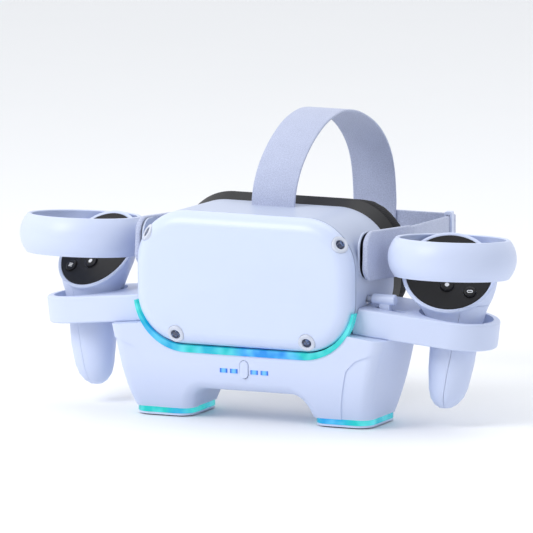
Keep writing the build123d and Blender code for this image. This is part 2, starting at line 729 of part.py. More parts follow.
def connector_slider():
    barrel_part = tube_x(PLUG_RADIUS, PLUG_BARREL, PLUG_END, PLUG_DEPTH, PLUG_Z)
    ends = barrel_part.edges().filter_by(GeomType.CIRCLE)
    barrel_part = fillet(ends, 0.8)
    foot = block(*PLUG_FOOT, PLUG_DEPTH - PLUG_FOOT_HALF, PLUG_DEPTH + PLUG_FOOT_HALF,
                 PLUG_SLOT_FLOOR + 0.3, PLUG_Z)
    return barrel_part + foot


def connector_tip():
    return tube_x(PLUG_RADIUS - 1.2, PLUG_TIP, PLUG_BARREL, PLUG_DEPTH, PLUG_Z)


CONTACT_PIN_RADIUS = 1.1


def contact_pins():
    pins = []
    for x in (-3.5, 3.5):
        pin = Location((x, HOLE_RADIUS - CONTACT_OUT, 0), (90, 0, 0)) * Cylinder(CONTACT_PIN_RADIUS, 1.6)
        pins.append(arm_plane() * pin)
    return pins


# ---------------------------------------------------------------- controllers
def face_plane():
    """The right controller's face, with local Y up the slope and local Z outwards."""
    lean, turn = radians(FACE_LEAN), radians(FACE_TURN)
    return Plane(origin=(FACE_X, FACE_DEPTH, FACE_Z), x_dir=(cos(turn), sin(turn), 0),
                 z_dir=(sin(turn) * cos(lean), -cos(turn) * cos(lean), sin(lean)))


PLATE_DEPTH = 2.0


def grip_body(shrink=0.0, low=0, high=None):
    sections = []
    for height, x, depth, half_x, half_y in GRIP_SECTIONS[::-1][low:high]:
        ellipse = Ellipse(half_x - shrink, half_y - shrink)
        sections.append(Plane.XY.offset(height) * Location((x, depth)) * ellipse)
    return loft(sections)


RING_RIM_INSIDE = RING_RIM_RADIUS - RING_WALL + 1


def ring_inside():
    half = RING_HEIGHT / 2
    return ThreePointArc((RING_RIM_INSIDE, -half), (RING_RADIUS - RING_WALL, 0), (RING_RIM_INSIDE, half))


def ring_solid():
    """The tracking ring: a bulged band turned about its own tilted axis."""
    half = RING_HEIGHT / 2
    outer = ThreePointArc((RING_RIM_RADIUS, -half), (RING_RADIUS, 0), (RING_RIM_RADIUS, half))
    profile = make_face([outer, ring_inside(),
                         Line((RING_RIM_INSIDE, -half), (RING_RIM_RADIUS, -half)),
                         Line((RING_RIM_INSIDE, half), (RING_RIM_RADIUS, half))])
    ring = revolve(Plane.XZ * profile, Axis.Z)
    ring = fillet(ring.edges().filter_by(GeomType.CIRCLE).group_by(Axis.Z)[0], 1.0)
    ring = fillet(ring.edges().filter_by(GeomType.CIRCLE).group_by(Axis.Z)[-1], 1.0)
    return Location((RING_X, RING_DEPTH, RING_Z), (-RING_TILT, 0, 0)) * ring


def trigger_profile(grow=0.0):
    """The trigger's side outline around its pivot: a hub and a curved finger rest."""
    depth, height = TRIGGER_PIVOT
    hub = Location((depth, height)) * Circle(4.0)
    blade = make_face(Polyline(
        (depth - 2, height + 3.6), (depth + 9, height - 2), (depth + 12, height - 8),
        (depth + 9, height - 18), (depth + 4, height - 17), (depth + 4, height - 8),
        (depth - 2, height - 3.6), close=True))
    shape = hub + blade
    return offset(shape, grow) if grow else shape


def trigger(grow=0.0):
    half = TRIGGER_WIDTH / 2 + grow
    part = extrude(Plane.YZ.offset(HOLDER_X) * trigger_profile(grow), half, both=True)
    return part


TRIGGER_PULL = 12.0


def trigger_pocket():
    depth, height = TRIGGER_PIVOT
    space = trigger(0.5)
    swing = Axis((HOLDER_X, depth, height), (-1, 0, 0))
    for angle in (TRIGGER_PULL / 2, TRIGGER_PULL + 2):
        space += trigger(0.5).rotate(swing, angle)
    return space


GRIP_KEY_OUT = 2.2


def grip_key(grow=0.0):
    face = HOLDER_X - GRIP_SECTIONS[1][3] - GRIP_KEY_OUT
    shape = SlotOverall(19 + 2 * grow, 12 + 2 * grow)
    plane = Plane(origin=(face, GRIP_KEY_DEPTH, GRIP_KEY_Z), x_dir=(0, 0, 1), z_dir=(1, 0, 0))
    key = extrude(plane * shape, 7.0 + (GRIP_KEY_TRAVEL + 0.4 if grow else 0))
    if grow:
        return key
    return fillet(key.faces().sort_by(Axis.X)[0].edges(), 2.0)


GRIP_KEY_TRAVEL = 2.0


def cover_side(gap=0.0):
    """The half space outside the battery cover's flat joint."""
    lean = (COVER_TOP_X - COVER_TIP_X) / (COVER_TOP_Z - COVER_TIP_Z)
    length = sqrt(1 + lean ** 2)
    plane = Plane(origin=(COVER_TOP_X, HOLDER_DEPTH, COVER_TOP_Z), x_dir=(0, 1, 0),
                  z_dir=(1 / length, 0, -lean / length))
    region = plane * Location((0, 0, 50 + gap)) * Box(200, 400, 100)
    return region & block(0, 400, -100, 300, -50, COVER_TOP_Z - gap)


def key_spots():
    return {"upper": (UPPER_PLACE, KEY_RADIUS), "lower": (LOWER_PLACE, KEY_RADIUS),
            "menu": (MENU_PLACE, MENU_RADIUS)}


def handle_shell():
    frame = face_plane()
    rim = FACE_RADIUS_PLATE + FACE_RIM
    head = loft([Circle(rim), Plane.XY.offset(-HEAD_THICK) * Circle(HEAD_BACK_RADIUS)])
    head = fillet(head.faces().sort_by(Axis.Z)[-1].edges(), 1.2)
    room = loft([Plane.XY.offset(-PLATE_DEPTH) * Circle(FACE_RADIUS_PLATE - 1.6),
                 Plane.XY.offset(-HEAD_THICK + 2.4) * Circle(HEAD_BACK_RADIUS - 1.2)])
    seat = Location((0, 0, -PLATE_DEPTH / 2)) * Cylinder(FACE_RADIUS_PLATE + SEAT, PLATE_DEPTH)
    neck = extrude(Plane.YZ.offset(FACE_X - 3) * make_face(Polyline(
        (78, 122), (84, 134), (100, 132), (100, 114), (90, 108), close=True)), 12, both=True)
    body = frame * head + neck + grip_body()
    body -= frame * (room + seat)
    body -= grip_body(GRIP_WALL, 1, -1)
    body -= ring_keepout()
    body -= grip_body() & cover_side()
    body -= trigger_pocket() + grip_key(RUNNING)
    return body


def ring_keepout():
    """The ring's own space and everything outside it, so that the neck ends on the ring."""
    frame = Location((RING_X, RING_DEPTH, RING_Z), (-RING_TILT, 0, 0))
    half = RING_HEIGHT / 2
    far = 2 * RING_RADIUS
    profile = make_face([ring_inside(), Polyline((RING_RIM_INSIDE, half), (far, half), (far, -half),
                                                 (RING_RIM_INSIDE, -half))])
    return frame * revolve(Plane.XZ * profile, Axis.Z)


def battery_cover():
    skin = (grip_body() & cover_side(SEAT)) - grip_body(GRIP_WALL, 1, -1)
    return skin.solids().sort_by(SortBy.VOLUME)[-1]


def cell():
    top, low = GRIP_SECTIONS[1], GRIP_SECTIONS[4]
    start = Vector(low[1] - 0.4, low[2] + 1.2, 33)
    aim = (Vector(top[1], top[2], top[0]) - Vector(low[1], low[2], low[0])).normalized()
    plane = Plane(origin=start, z_dir=aim)
    return extrude(plane * Circle(CELL_RADIUS), CELL_LENGTH)


def stick_place():
    return Location((STICK_PLACE[0], STICK_PLACE[1], 0))


def thumbstick():
    stem = Location((0, 0, (5 - STICK_PIVOT) / 2)) * Cylinder(3.0, 5 + STICK_PIVOT)
    ball = Location((0, 0, -STICK_PIVOT)) * Sphere(3.8)
    cap = Location((0, 0, 6)) * Cylinder(STICK_CAP, 3.4)
    cap = fillet(cap.edges(), 1.2)
    dish = Location((0, 0, 22.6)) * Sphere(16)
    return face_plane() * stick_place() * (stem + ball + cap - dish)


def stick_gimbal():
    ring = Location((0, 0, -STICK_PIVOT)) * (Cylinder(7.6, 3.2) - Cylinder(4.6, 4))
    return face_plane() * stick_place() * ring


def face_key(name):
    (x, y), radius = key_spots()[name]
    key = Location((x, y, KEY_PROUD / 2 - 2.5)) * Cylinder(radius, KEY_PROUD + 5)
    return face_plane() * fillet(key.faces().sort_by(Axis.Z)[-1].edges(), 0.7)


def face_plate():
    plate = Location((0, 0, -PLATE_DEPTH / 2)) * Cylinder(FACE_RADIUS_PLATE, PLATE_DEPTH)
    for (x, y), radius in key_spots().values():
        plate -= Location((x, y)) * Cylinder(radius + RUNNING, 20)
    plate -= stick_place() * Cylinder(STICK_CAP - 0.6, 20)
    return face_plane() * plate


def controller():
    """The right controller's pieces by name."""
    return {
        "handle_shell": handle_shell(),
        "battery_cover": battery_cover(),
        "tracking_ring": ring_solid(),
        "face_plate": face_plate(),
        "thumbstick": thumbstick(),
        "stick_gimbal": stick_gimbal(),
        "upper_button": face_key("upper"),
        "lower_button": face_key("lower"),
        "menu_button": face_key("menu"),
        "trigger": trigger(),
        "grip_button": grip_key(),
        "battery": cell(),
    }


def group(parts):
    solids = []
    for part in parts:
        solids.extend(part.solids())
    return Compound(children=solids)


def visor_parts():
    spots = camera_spots()
    return {
        "visor_front_cover": front_cover(),
        "visor_housing": housing(),
        "camera_bezels": group([camera_bezel(spot) for spot in spots]),
        "camera_lenses": group([camera_lens(spot) for spot in spots]),
        "display_panel": display_panel(),
        "headset_main_board": main_board(),
        "headset_battery": headset_cell(),
        "left_lens_barrel": barrel(-1),
        "right_lens_barrel": barrel(1),
        "left_lens": eye_lens(-1),
        "right_lens": eye_lens(1),
        "face_frame": face_frame(),
        "face_cushion": face_cushion(),
        "magnetic_puck": magnetic_puck(),
        "headset_power_button": headset_power_key(),
        "left_strap_arm": mirrored(strap_arm()),
        "right_strap_arm": strap_arm(),
        "rear_strap": rear_strap(),
        "strap_sliders": pair(strap_slider()),
        "top_strap": top_strap(),
    }


def dock_parts():
    pins = contact_pins()
    screws = dock_screw_set()
    return {
        "dock_front_shell": front_shell(),
        "dock_main_shell": main_shell(),
        "saddle_light_guide": saddle_light(),
        "foot_lights": pair(foot_light()),
        "foot_plates": pair(foot_plate()),
        "rubber_feet": pair(rubber_foot()),
        "dock_screws": group(screws + [mirrored(screw) for screw in screws]),
        "left_arm": left_arm(),
        "right_arm": right_arm(),
        "dock_power_button": dock_button(),
        "indicator_lights": group(indicators()),
        "dock_circuit_board": dock_board(),
        "power_socket": power_socket(),
        "controller_contacts": group(pins + [mirrored(pin) for pin in pins]),
        "connector_slider": connector_slider(),
        "connector_tip": connector_tip(),
    }


def all_parts():
    parts = {**dock_parts(), **visor_parts()}
    for name, piece in controller().items():
        parts["right_" + name] = piece
        parts["left_" + name] = mirrored(piece)
    return parts


os.makedirs("parts", exist_ok=True)
DEPTH = STRAP_REACH + STRAP_THICK / 2
for node, piece in all_parts().items():
    export_step(Location((0, -DEPTH / 2, 0)) * piece, f"parts/{node}.step")
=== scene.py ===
from math import asin, atan2, cos, pi, radians, sin, sqrt

import bmesh
import bpy
from mathutils import Matrix, Vector


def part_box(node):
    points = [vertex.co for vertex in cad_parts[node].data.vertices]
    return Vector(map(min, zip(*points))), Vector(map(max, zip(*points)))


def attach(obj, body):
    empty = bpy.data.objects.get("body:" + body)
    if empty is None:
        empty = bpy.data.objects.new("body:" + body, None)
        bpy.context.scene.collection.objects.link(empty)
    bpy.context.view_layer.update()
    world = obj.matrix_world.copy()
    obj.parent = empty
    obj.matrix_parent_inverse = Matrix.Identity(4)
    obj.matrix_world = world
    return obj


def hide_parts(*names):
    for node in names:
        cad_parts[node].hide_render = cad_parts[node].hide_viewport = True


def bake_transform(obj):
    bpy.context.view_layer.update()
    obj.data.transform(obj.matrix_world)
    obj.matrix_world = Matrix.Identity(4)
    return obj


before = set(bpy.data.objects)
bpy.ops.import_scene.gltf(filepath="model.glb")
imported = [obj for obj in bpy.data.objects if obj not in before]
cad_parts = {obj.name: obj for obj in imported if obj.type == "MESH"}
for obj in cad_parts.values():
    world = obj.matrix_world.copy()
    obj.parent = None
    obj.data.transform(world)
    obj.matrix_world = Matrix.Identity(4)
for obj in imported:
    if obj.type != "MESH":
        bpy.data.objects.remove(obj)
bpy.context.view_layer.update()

scene = bpy.context.scene


# ---------------------------------------------------------------- camera, floor and light
# A long lens from the front right, slightly above, over a plain pale table in a bright studio.
TURN, RISE = radians(23.4), radians(8.9)
CAMERA_DISTANCE = 12.0
VIEW_SPAN = 0.3948
aim = Vector((-0.0045, -0.0690, 0.1105))

lens = bpy.data.cameras.new("studio_camera")
lens.sensor_width = 36.0
lens.lens = lens.sensor_width * CAMERA_DISTANCE / VIEW_SPAN
camera = bpy.data.objects.new("studio_camera", lens)
back = Vector((sin(TURN) * cos(RISE), -cos(TURN) * cos(RISE), sin(RISE)))
camera.location = aim + CAMERA_DISTANCE * back
camera.rotation_euler = (pi / 2 - RISE, 0, TURN)
scene.collection.objects.link(camera)
scene.camera = camera
scene.view_settings.view_transform = "Standard"

studio = bpy.data.worlds.new("studio")
studio.use_nodes = True
nodes, links = studio.node_tree.nodes, studio.node_tree.links
around = nodes.new("ShaderNodeTexCoord")
towards = nodes.new("ShaderNodeVectorMath")
towards.operation = "DOT_PRODUCT"
towards.inputs[1].default_value = (-0.62, 0.76, 0.2)
spread = nodes.new("ShaderNodeMapRange")
for name, value in (("From Min", -0.9), ("From Max", 0.55), ("To Min", 0.42), ("To Max", 1.06)):
    spread.inputs[name].default_value = value
links.new(around.outputs["Generated"], towards.inputs[0])
links.new(towards.outputs["Value"], spread.inputs["Value"])
links.new(spread.outputs["Result"], nodes["Background"].inputs["Strength"])
nodes["Background"].inputs["Color"].default_value = (0.975, 0.985, 1.0, 1)
scene.world = studio


def softbox(name, place, size, power, colour):
    """One square studio light aimed at the set."""
    lamp = bpy.data.lights.new(name, "AREA")
    lamp.size, lamp.energy, lamp.color = size, power, colour
    held = bpy.data.objects.new(name, lamp)
    held.location = place
    held.rotation_euler = (aim - Vector(place)).to_track_quat("-Z", "Y").to_euler()
    scene.collection.objects.link(held)


softbox("key_light", (-0.7, -1.3, 1.3), 0.9, 17, (1.0, 0.99, 0.98))
softbox("fill_light", (1.5, -0.7, 0.5), 1.0, 2.0, (0.86, 0.92, 1.0))
softbox("top_light", (0.2, 0.5, 1.6), 1.1, 5, (0.95, 0.97, 1.0))


# ---------------------------------------------------------------- moulded plastics
# Most of the set is one pale ABS, moulded with a very fine spark texture and left unpainted. The
# visor's housing is the same plastic tinted a little greyer.
class Value:
    """A socket that adds Math nodes to its material when it is used in a sum."""

    def __init__(self, recipe, socket):
        self.recipe, self.socket = recipe, socket

    def math(self, operation, first, second):
        node = self.recipe.node("ShaderNodeMath", {"operation": operation}, {0: first, 1: second})
        return Value(self.recipe, node.outputs[0])

    def __add__(self, other):
        return self.math("ADD", self, other)

    def __radd__(self, other):
        return self.math("ADD", other, self)

    def __sub__(self, other):
        return self.math("SUBTRACT", self, other)

    def __mul__(self, other):
        return self.math("MULTIPLY", self, other)

    def __rmul__(self, other):
        return self.math("MULTIPLY", other, self)

    def sine(self):
        return self.math("SINE", self, 0)


class Finish:
    """One material, built node by node around its Principled shader."""

    def __init__(self, name, **constants):
        self.material = bpy.data.materials.new(name)
        self.material.use_nodes = True
        self.tree = self.material.node_tree
        self.shader = self.tree.nodes["Principled BSDF"]
        for socket, value in constants.items():
            self.shader.inputs[socket.replace("_", " ")].default_value = value

    def node(self, kind, settings=None, inputs=None):
        """Adds a node, with its settings first and then its sockets' values or links."""
        made = self.tree.nodes.new(kind)
        for key, value in (settings or {}).items():
            setattr(made, key, value)
        for key, value in (inputs or {}).items():
            if isinstance(value, Value):
                self.tree.links.new(value.socket, made.inputs[key])
            elif isinstance(value, bpy.types.NodeSocket):
                self.tree.links.new(value, made.inputs[key])
            else:
                made.inputs[key].default_value = value
        return made

    def place(self):
        return self.node("ShaderNodeTexCoord").outputs["Object"]

    def noise(self, vector, scale, detail=3.0, roughness=0.5):
        made = self.node("ShaderNodeTexNoise", None, {
            "Vector": vector, "Scale": scale, "Detail": detail, "Roughness": roughness})
        return Value(self, made.outputs["Fac"])

    def blend(self, share, first, second):
        """A colour between two others."""
        made = self.node("ShaderNodeMix", {"data_type": "RGBA"}, {"Factor": share})
        for key, value in (("A", first), ("B", second)):
            socket = [s for s in made.inputs if s.name == key and s.type == "RGBA"][0]
            if isinstance(value, bpy.types.NodeSocket):
                self.tree.links.new(value, socket)
            else:
                socket.default_value = (*value, 1)
        return [s for s in made.outputs if s.type == "RGBA"][0]

    def wire(self, **sockets):
        for name, value in sockets.items():
            source = value.socket if isinstance(value, Value) else value
            self.tree.links.new(source, self.shader.inputs[name.replace("_", " ")])

    def bump(self, height, distance):
        made = self.node("ShaderNodeBump", None, {
            "Height": height, "Distance": distance, "Strength": 1.0})
        self.wire(Normal=made.outputs["Normal"])


def moulded_plastic(name, colour, shade, rough, grain=0.00003, shine=0.5):
    """Moulded plastic: a fine even grain, faint tone drift and slightly uneven gloss."""
    made = Finish(name, IOR=1.49, Specular_IOR_Level=shine, Coat_Weight=0.2 * shine,
                  Coat_Roughness=0.25)
    here = made.place()
    drift = made.noise(here, 14.0, 2.0)
    speck = made.noise(here, 2600.0, 2.0)
    made.wire(Base_Color=made.blend(drift * 0.6 + speck * 0.12, colour, shade))
    made.wire(Roughness=rough + 0.06 * made.noise(here, 60.0) + 0.05 * speck)
    made.bump(speck + 0.4 * made.noise(here, 900.0), grain)
    return made.material


white_plastic = moulded_plastic("white_plastic", (0.60, 0.67, 0.87), (0.56, 0.63, 0.83), 0.36)
cover_plastic = moulded_plastic("cover_plastic", (0.60, 0.68, 0.89), (0.57, 0.65, 0.86), 0.30)
grey_plastic = moulded_plastic("grey_plastic", (0.47, 0.53, 0.69), (0.43, 0.49, 0.65), 0.38)
black_plastic = moulded_plastic("black_plastic", (0.008, 0.008, 0.010), (0.015, 0.015, 0.018), 0.48,
                                0.00005, 0.3)


# ---------------------------------------------------------------- dock shells and arms
# Two hollow ABS mouldings make the dock: a front panel with the raised chest, and the main shell
# with both legs. The two arms are mouldings of their own, plugged on over the shoulders.
def dress(material, *nodes):
    """Gives carried-over CAD pieces their finish and smooth shading between sharp edges."""
    for name in nodes:
        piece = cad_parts[name]
        piece.data.materials.clear()
        piece.data.materials.append(material)
        piece.data.polygons.foreach_set("use_smooth", [True] * len(piece.data.polygons))
        joined = piece.modifiers.new("joined", "WELD")
        joined.merge_threshold = 0.00001
        creased = piece.modifiers.new("creased", "EDGE_SPLIT")
        creased.split_angle = radians(28)


dress(white_plastic, "dock_front_shell", "dock_main_shell", "left_arm", "right_arm", "foot_plates",
      "dock_power_button", "connector_slider", "strap_sliders")


# ---------------------------------------------------------------- light bands and indicators
# Frosted acrylic strips, lit from inside by colour diodes: teal, turning blue where a blue diode
# sits. Paler streaks are painted highlights, and the darker rim is painted shade.
def lit_band():
    made = Finish("lit_band", Roughness=0.18, IOR=1.49, Emission_Strength=0.85)
    here = made.place()
    patch = made.node("ShaderNodeMapRange", None, {
        "Value": made.noise(here, 20.0, 1.0), "From Min": 0.46, "From Max": 0.62})
    # painted highlight: pale streaks that brighten the glow and the base colour along the strip
    painted_highlight_streak = made.node("ShaderNodeMapRange", None, {
        "Value": made.noise(here, 90.0, 1.0), "From Min": 0.40, "From Max": 0.80})
    # painted shade: the glow turns dark teal where the strip's surface turns away from view
    rim = made.node("ShaderNodeMapRange", None, {
        "Value": made.node("ShaderNodeLayerWeight", None, {"Blend": 0.5}).outputs["Facing"],
        "From Min": 0.45, "From Max": 0.95})
    tint = made.blend(Value(made, patch.outputs[0]), (0.0, 0.60, 0.58), (0.01, 0.22, 0.92))
    glow = made.blend(0.5 * Value(made, painted_highlight_streak.outputs[0]), tint, (0.30, 0.90, 1.0))
    made.wire(Base_Color=made.blend(Value(made, painted_highlight_streak.outputs[0]), (0.0, 0.10, 0.11),
                                    (0.01, 0.20, 0.22)))
    made.wire(Emission_Color=made.blend(0.8 * Value(made, rim.outputs[0]), glow, (0.0, 0.16, 0.22)))
    return made.material


INDICATOR_PITCH = 0.0082


def lit_window():
    made = Finish("lit_window", Roughness=0.2, IOR=1.49, Emission_Strength=1.0)
    here = made.place()
    apart = made.node("ShaderNodeSeparateXYZ", None, {0: here})
    across = Value(made, apart.outputs["X"])
    aside = across.math("PINGPONG", across, INDICATOR_PITCH / 2)
    fade = made.node("ShaderNodeMapRange", None, {
        "Value": aside + 0.0006 * made.noise(here, 300.0, 1.0), "From Min": 0.0011, "From Max": 0.0030})
    tint = made.blend(Value(made, fade.outputs[0]), (0.16, 0.52, 1.0), (0.004, 0.10, 0.62))
    made.wire(Base_Color=made.blend(Value(made, fade.outputs[0]), (0.01, 0.05, 0.2),
                                    (0.0, 0.02, 0.1)))
    made.wire(Emission_Color=tint)
    return made.material


dress(lit_band(), "saddle_light_guide", "foot_lights")
dress(lit_window(), "indicator_lights")


# ---------------------------------------------------------------- visor front cover
# A shallow shell moulded in one piece, pressed over the housing: rounded corners, a soft radius
# all round its face and a barely crowned front.
def outline(bm, width, height, corner, place, segments=14):
    """A closed loop of edges, a rectangle with round corners, standing where the matrix puts it."""
    made = bmesh.ops.create_grid(bm, x_segments=1, y_segments=1, size=0.5)["verts"]
    bmesh.ops.scale(bm, vec=(width, height, 1), verts=made)
    made = bmesh.ops.bevel(bm, geom=made, offset=min(corner, 0.499 * min(width, height)),
                           affect="VERTICES", segments=segments, profile=0.5, material=-1)["verts"]
    bmesh.ops.transform(bm, matrix=place, verts=made)
    edges = list({edge for vert in made for edge in vert.link_edges})
    bmesh.ops.delete(bm, geom=made[0].link_faces[:], context="FACES_ONLY")
    return edges


def upright(depth, height):
    """Stands an outline up, facing the front, at a depth behind the visor's face."""
    return Matrix.Translation((0, front + depth, height)) @ Matrix.Rotation(pi / 2, 4, "X")


def skin(bm, loops, first=False, last=False):
    """Joins loops of edges one to the next, and closes either end with one face."""
    for one, two in zip(loops, loops[1:]):
        bmesh.ops.bridge_loops(bm, edges=one + two)
    for wanted, loop in ((first, loops[0]), (last, loops[-1])):
        if wanted:
            bmesh.ops.contextual_create(bm, geom=loop)


def finished(name, bm, material, body, *nodes, smooth=radians(35)):
    """Turns a bmesh into a piece at the origin that rides on a body and stands for CAD nodes."""
    bmesh.ops.recalc_face_normals(bm, faces=bm.faces)
    mesh = bpy.data.meshes.new(name)
    bm.to_mesh(mesh)
    bm.free()
    mesh.materials.append(material)
    mesh.polygons.foreach_set("use_smooth", [True] * len(mesh.polygons))
    mesh.set_sharp_from_angle(angle=smooth)
    piece = bpy.data.objects.new(name, mesh)
    scene.collection.objects.link(piece)
    if body:
        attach(piece, body)
    if nodes:
        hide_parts(*nodes)
    return piece


def walled(piece, thickness):
    """Gives an outside skin its wall, inwards."""
    wall = piece.modifiers.new("wall", "SOLIDIFY")
    wall.thickness, wall.offset = thickness, -1
    return piece


def settled(piece):
    """Turns a piece's modifiers into its mesh."""
    mesh = bpy.data.meshes.new_from_object(
        piece.evaluated_get(bpy.context.evaluated_depsgraph_get()))
    piece.modifiers.clear()
    piece.data = mesh
    return mesh


def cutter_object(label, bm):
    """A loose object that cuts a window."""
    mesh = bpy.data.meshes.new(label)
    bm.to_mesh(mesh)
    bm.free()
    made = bpy.data.objects.new(label, mesh)
    scene.collection.objects.link(made)
    return made


def with_windows(piece, cutters):
    """Cuts windows through a walled piece and keeps the result."""
    for number, cutter in enumerate(cutters):
        cut = piece.modifiers.new(f"window_{number}", "BOOLEAN")
        cut.operation, cut.solver, cut.object = "DIFFERENCE", "EXACT", cutter
    bpy.context.view_layer.update()
    settled(piece)
    for cutter in cutters:
        bpy.data.objects.remove(cutter)
    return piece


cover_low, cover_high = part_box("visor_front_cover")
house_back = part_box("visor_housing")[1].y
front = cover_low.y
VISOR_Z = (cover_low.z + cover_high.z) / 2
FACE_WIDTH, FACE_HEIGHT, FACE_CORNER = 0.173, 0.100, 0.038
BACK_WIDTH, BACK_HEIGHT, BACK_CORNER = 0.178, 0.097, 0.044
VISOR_DEPTH = house_back - front
COVER_DEPTH = cover_high.y - front
COVER_ROUND = 0.012
SHELL_WALL = 0.0022
CROWN = 0.0009
SEAM = 0.00035


def visor_loop(bm, depth, grow):
    """The visor's outline at a depth, as the housing spreads towards its back."""
    share = depth / VISOR_DEPTH
    width = FACE_WIDTH + share * (BACK_WIDTH - FACE_WIDTH) + 2 * grow
    height = FACE_HEIGHT + share * (BACK_HEIGHT - FACE_HEIGHT) + 2 * grow
    corner = FACE_CORNER + share * (BACK_CORNER - FACE_CORNER) + grow
    return outline(bm, width, height, corner, upright(depth, VISOR_Z), 18)


bm = bmesh.new()
loops = [visor_loop(bm, COVER_DEPTH - SEAM, -0.0005), visor_loop(bm, COVER_DEPTH - 2 * SEAM, 0)]
ROUND_STEPS = 9
for step in range(ROUND_STEPS + 1):
    swing = step / ROUND_STEPS * pi / 2
    reach = COVER_ROUND - CROWN
    loops.append(visor_loop(bm, COVER_ROUND - reach * sin(swing), -COVER_ROUND * (1 - cos(swing))))
for inset, rise in ((0.016, 0.45), (0.023, 0.8), (0.0249, 1.0)):
    loops.append(visor_loop(bm, CROWN * (1 - rise), -COVER_ROUND - inset))
skin(bm, loops, last=True)
cover = walled(finished("visor_cover", bm, cover_plastic, "headset", "visor_front_cover"),
               SHELL_WALL)

# Where the four cameras sit on the rounded edge, each with its own direction.
BEZEL = 0.0066
CAMERA_SINK = 0.0008
HOLE_GAP, HOLE_DEPTH = 0.00015, 0.012
cameras = {}
for side, row, swing, tilt in ((-1, 1, 35, 60), (1, 1, 35, 60), (-1, -1, 82, 22), (1, -1, 82, 22)):
    swing, tilt = radians(swing), radians(tilt)
    spread = FACE_CORNER - COVER_ROUND + COVER_ROUND * sin(tilt)
    spot = Vector((side * (FACE_WIDTH / 2 - FACE_CORNER + spread * cos(swing)),
                   front + COVER_ROUND * (1 - cos(tilt)),
                   VISOR_Z + row * (FACE_HEIGHT / 2 - FACE_CORNER + spread * sin(swing))))
    facing = Vector((side * sin(tilt) * cos(swing), -cos(tilt), row * sin(tilt) * sin(swing)))
    label = ("upper" if row > 0 else "lower") + ("_left" if side < 0 else "_right")
    cameras[label] = Matrix.Translation(spot - CAMERA_SINK * facing) @ facing.to_track_quat(
        "Z", "Y").to_matrix().to_4x4()
holes = []
for label, place in cameras.items():
    bm = bmesh.new()
    bmesh.ops.create_cone(bm, cap_ends=True, segments=64, radius1=BEZEL + HOLE_GAP,
                          radius2=BEZEL + HOLE_GAP, depth=HOLE_DEPTH)
    bmesh.ops.transform(bm, matrix=place, verts=bm.verts)
    holes.append(cutter_object(label + "_hole", bm))
with_windows(cover, holes)
cover.data.set_sharp_from_angle(angle=radians(35))


# ---------------------------------------------------------------- visor housing
# The grey body behind the cover: a tapering ring with a rounded back edge, and on each side a
# shallow raised frame round the slit where a strap arm goes in.
bm = bmesh.new()
EDGE = 0.0006
loops = [visor_loop(bm, COVER_DEPTH + SEAM, -EDGE), visor_loop(bm, COVER_DEPTH + EDGE, 0)]
for share in (0.2, 0.4, 0.6, 0.8):
    loops.append(visor_loop(bm, COVER_DEPTH + share * (VISOR_DEPTH - COVER_DEPTH), 0))
BACK_ROUND = 0.0016
for step in range(5):
    swing = step / 4 * pi / 2
    loops.append(visor_loop(bm, VISOR_DEPTH - BACK_ROUND * (1 - sin(swing)),
                            -BACK_ROUND * (1 - cos(swing))))
skin(bm, loops)
housing = walled(finished("visor_body", bm, grey_plastic, "headset", "visor_housing"), SHELL_WALL)

arm_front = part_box("right_strap_arm")[0].y
SLIT_X, SLIT_BACK, SLIT_Z = 0.0873, 0.0128, 0.1286
SLIT_LONG, SLIT_TALL, SLIT_CORNER = 0.0345, 0.0275, 0.011
for side, name in ((-1, "left"), (1, "right")):
    bm = bmesh.new()
    spot = Matrix.Translation((side * SLIT_X, arm_front + SLIT_BACK, SLIT_Z)) @ Matrix.Rotation(
        side * pi / 2, 4, "Y")
    rim = [outline(bm, SLIT_LONG - inset, SLIT_TALL - inset, SLIT_CORNER,
                   spot @ Matrix.Translation((0, 0, rise)), 10)
           for inset, rise in ((0.0, -0.0012), (0.0, 0.0001), (0.0006, 0.0003), (0.0016, 0.0003))]
    skin(bm, rim, first=True, last=True)
    slit = finished(name + "_strap_slit", bm, grey_plastic, "headset")


# ---------------------------------------------------------------- cameras
# Four tracking cameras on the cover's rounded edge: a pale bezel ring with a dark coated lens and
# its stepped rim sunk in it. Paler blue flecks on the glass are painted reflections.
def lens_glass():
    made = Finish("camera_glass", Roughness=0.06, IOR=1.6, Coat_Weight=1.0, Coat_Roughness=0.03)
    here = made.place()
    # painted reflection: paler blue patches mixed into the glass's colour
    painted_glint = made.node("ShaderNodeMapRange", None, {
        "Value": made.noise(here, 420.0, 1.0), "From Min": 0.52, "From Max": 0.62})
    made.wire(Base_Color=made.blend(Value(made, painted_glint.outputs[0]), (0.010, 0.022, 0.075),
                                    (0.07, 0.14, 0.34)))
    return made.material


camera_glass = lens_glass()
bezel_plastic = moulded_plastic("bezel_plastic", (0.62, 0.66, 0.76), (0.56, 0.60, 0.71), 0.22)
BEZEL_PROFILE = ((BEZEL, -0.0026), (BEZEL, -0.0001), (BEZEL - 0.0003, 0.0003),
                 (BEZEL - 0.0008, 0.0005), (0.0042, 0.0004), (0.0038, 0.0002), (0.0036, -0.0012),
                 (0.0, -0.0012))
LENS_PROFILE = ((0.0037, -0.0011), (0.0035, -0.0002), (0.0032, -0.0004), (0.0029, -0.0007),
                (0.0026, -0.0009), (0.0023, -0.0005), (0.0017, -0.0001), (0.0009, 0.0001),
                (0.0, 0.00015))


def turned_part(bm, profile, place, steps=48):
    """Spins a profile of (radius, height) points once round and puts it in place."""
    verts = [bm.verts.new((radius, 0, height)) for radius, height in profile]
    edges = [bm.edges.new(two) for two in zip(verts, verts[1:])]
    bmesh.ops.spin(bm, geom=verts + edges, cent=(0, 0, 0), axis=(0, 0, 1), angle=2 * pi, steps=steps,
                   use_merge=True)
    bmesh.ops.remove_doubles(bm, verts=bm.verts, dist=0.000002)
    bmesh.ops.transform(bm, matrix=place, verts=bm.verts)


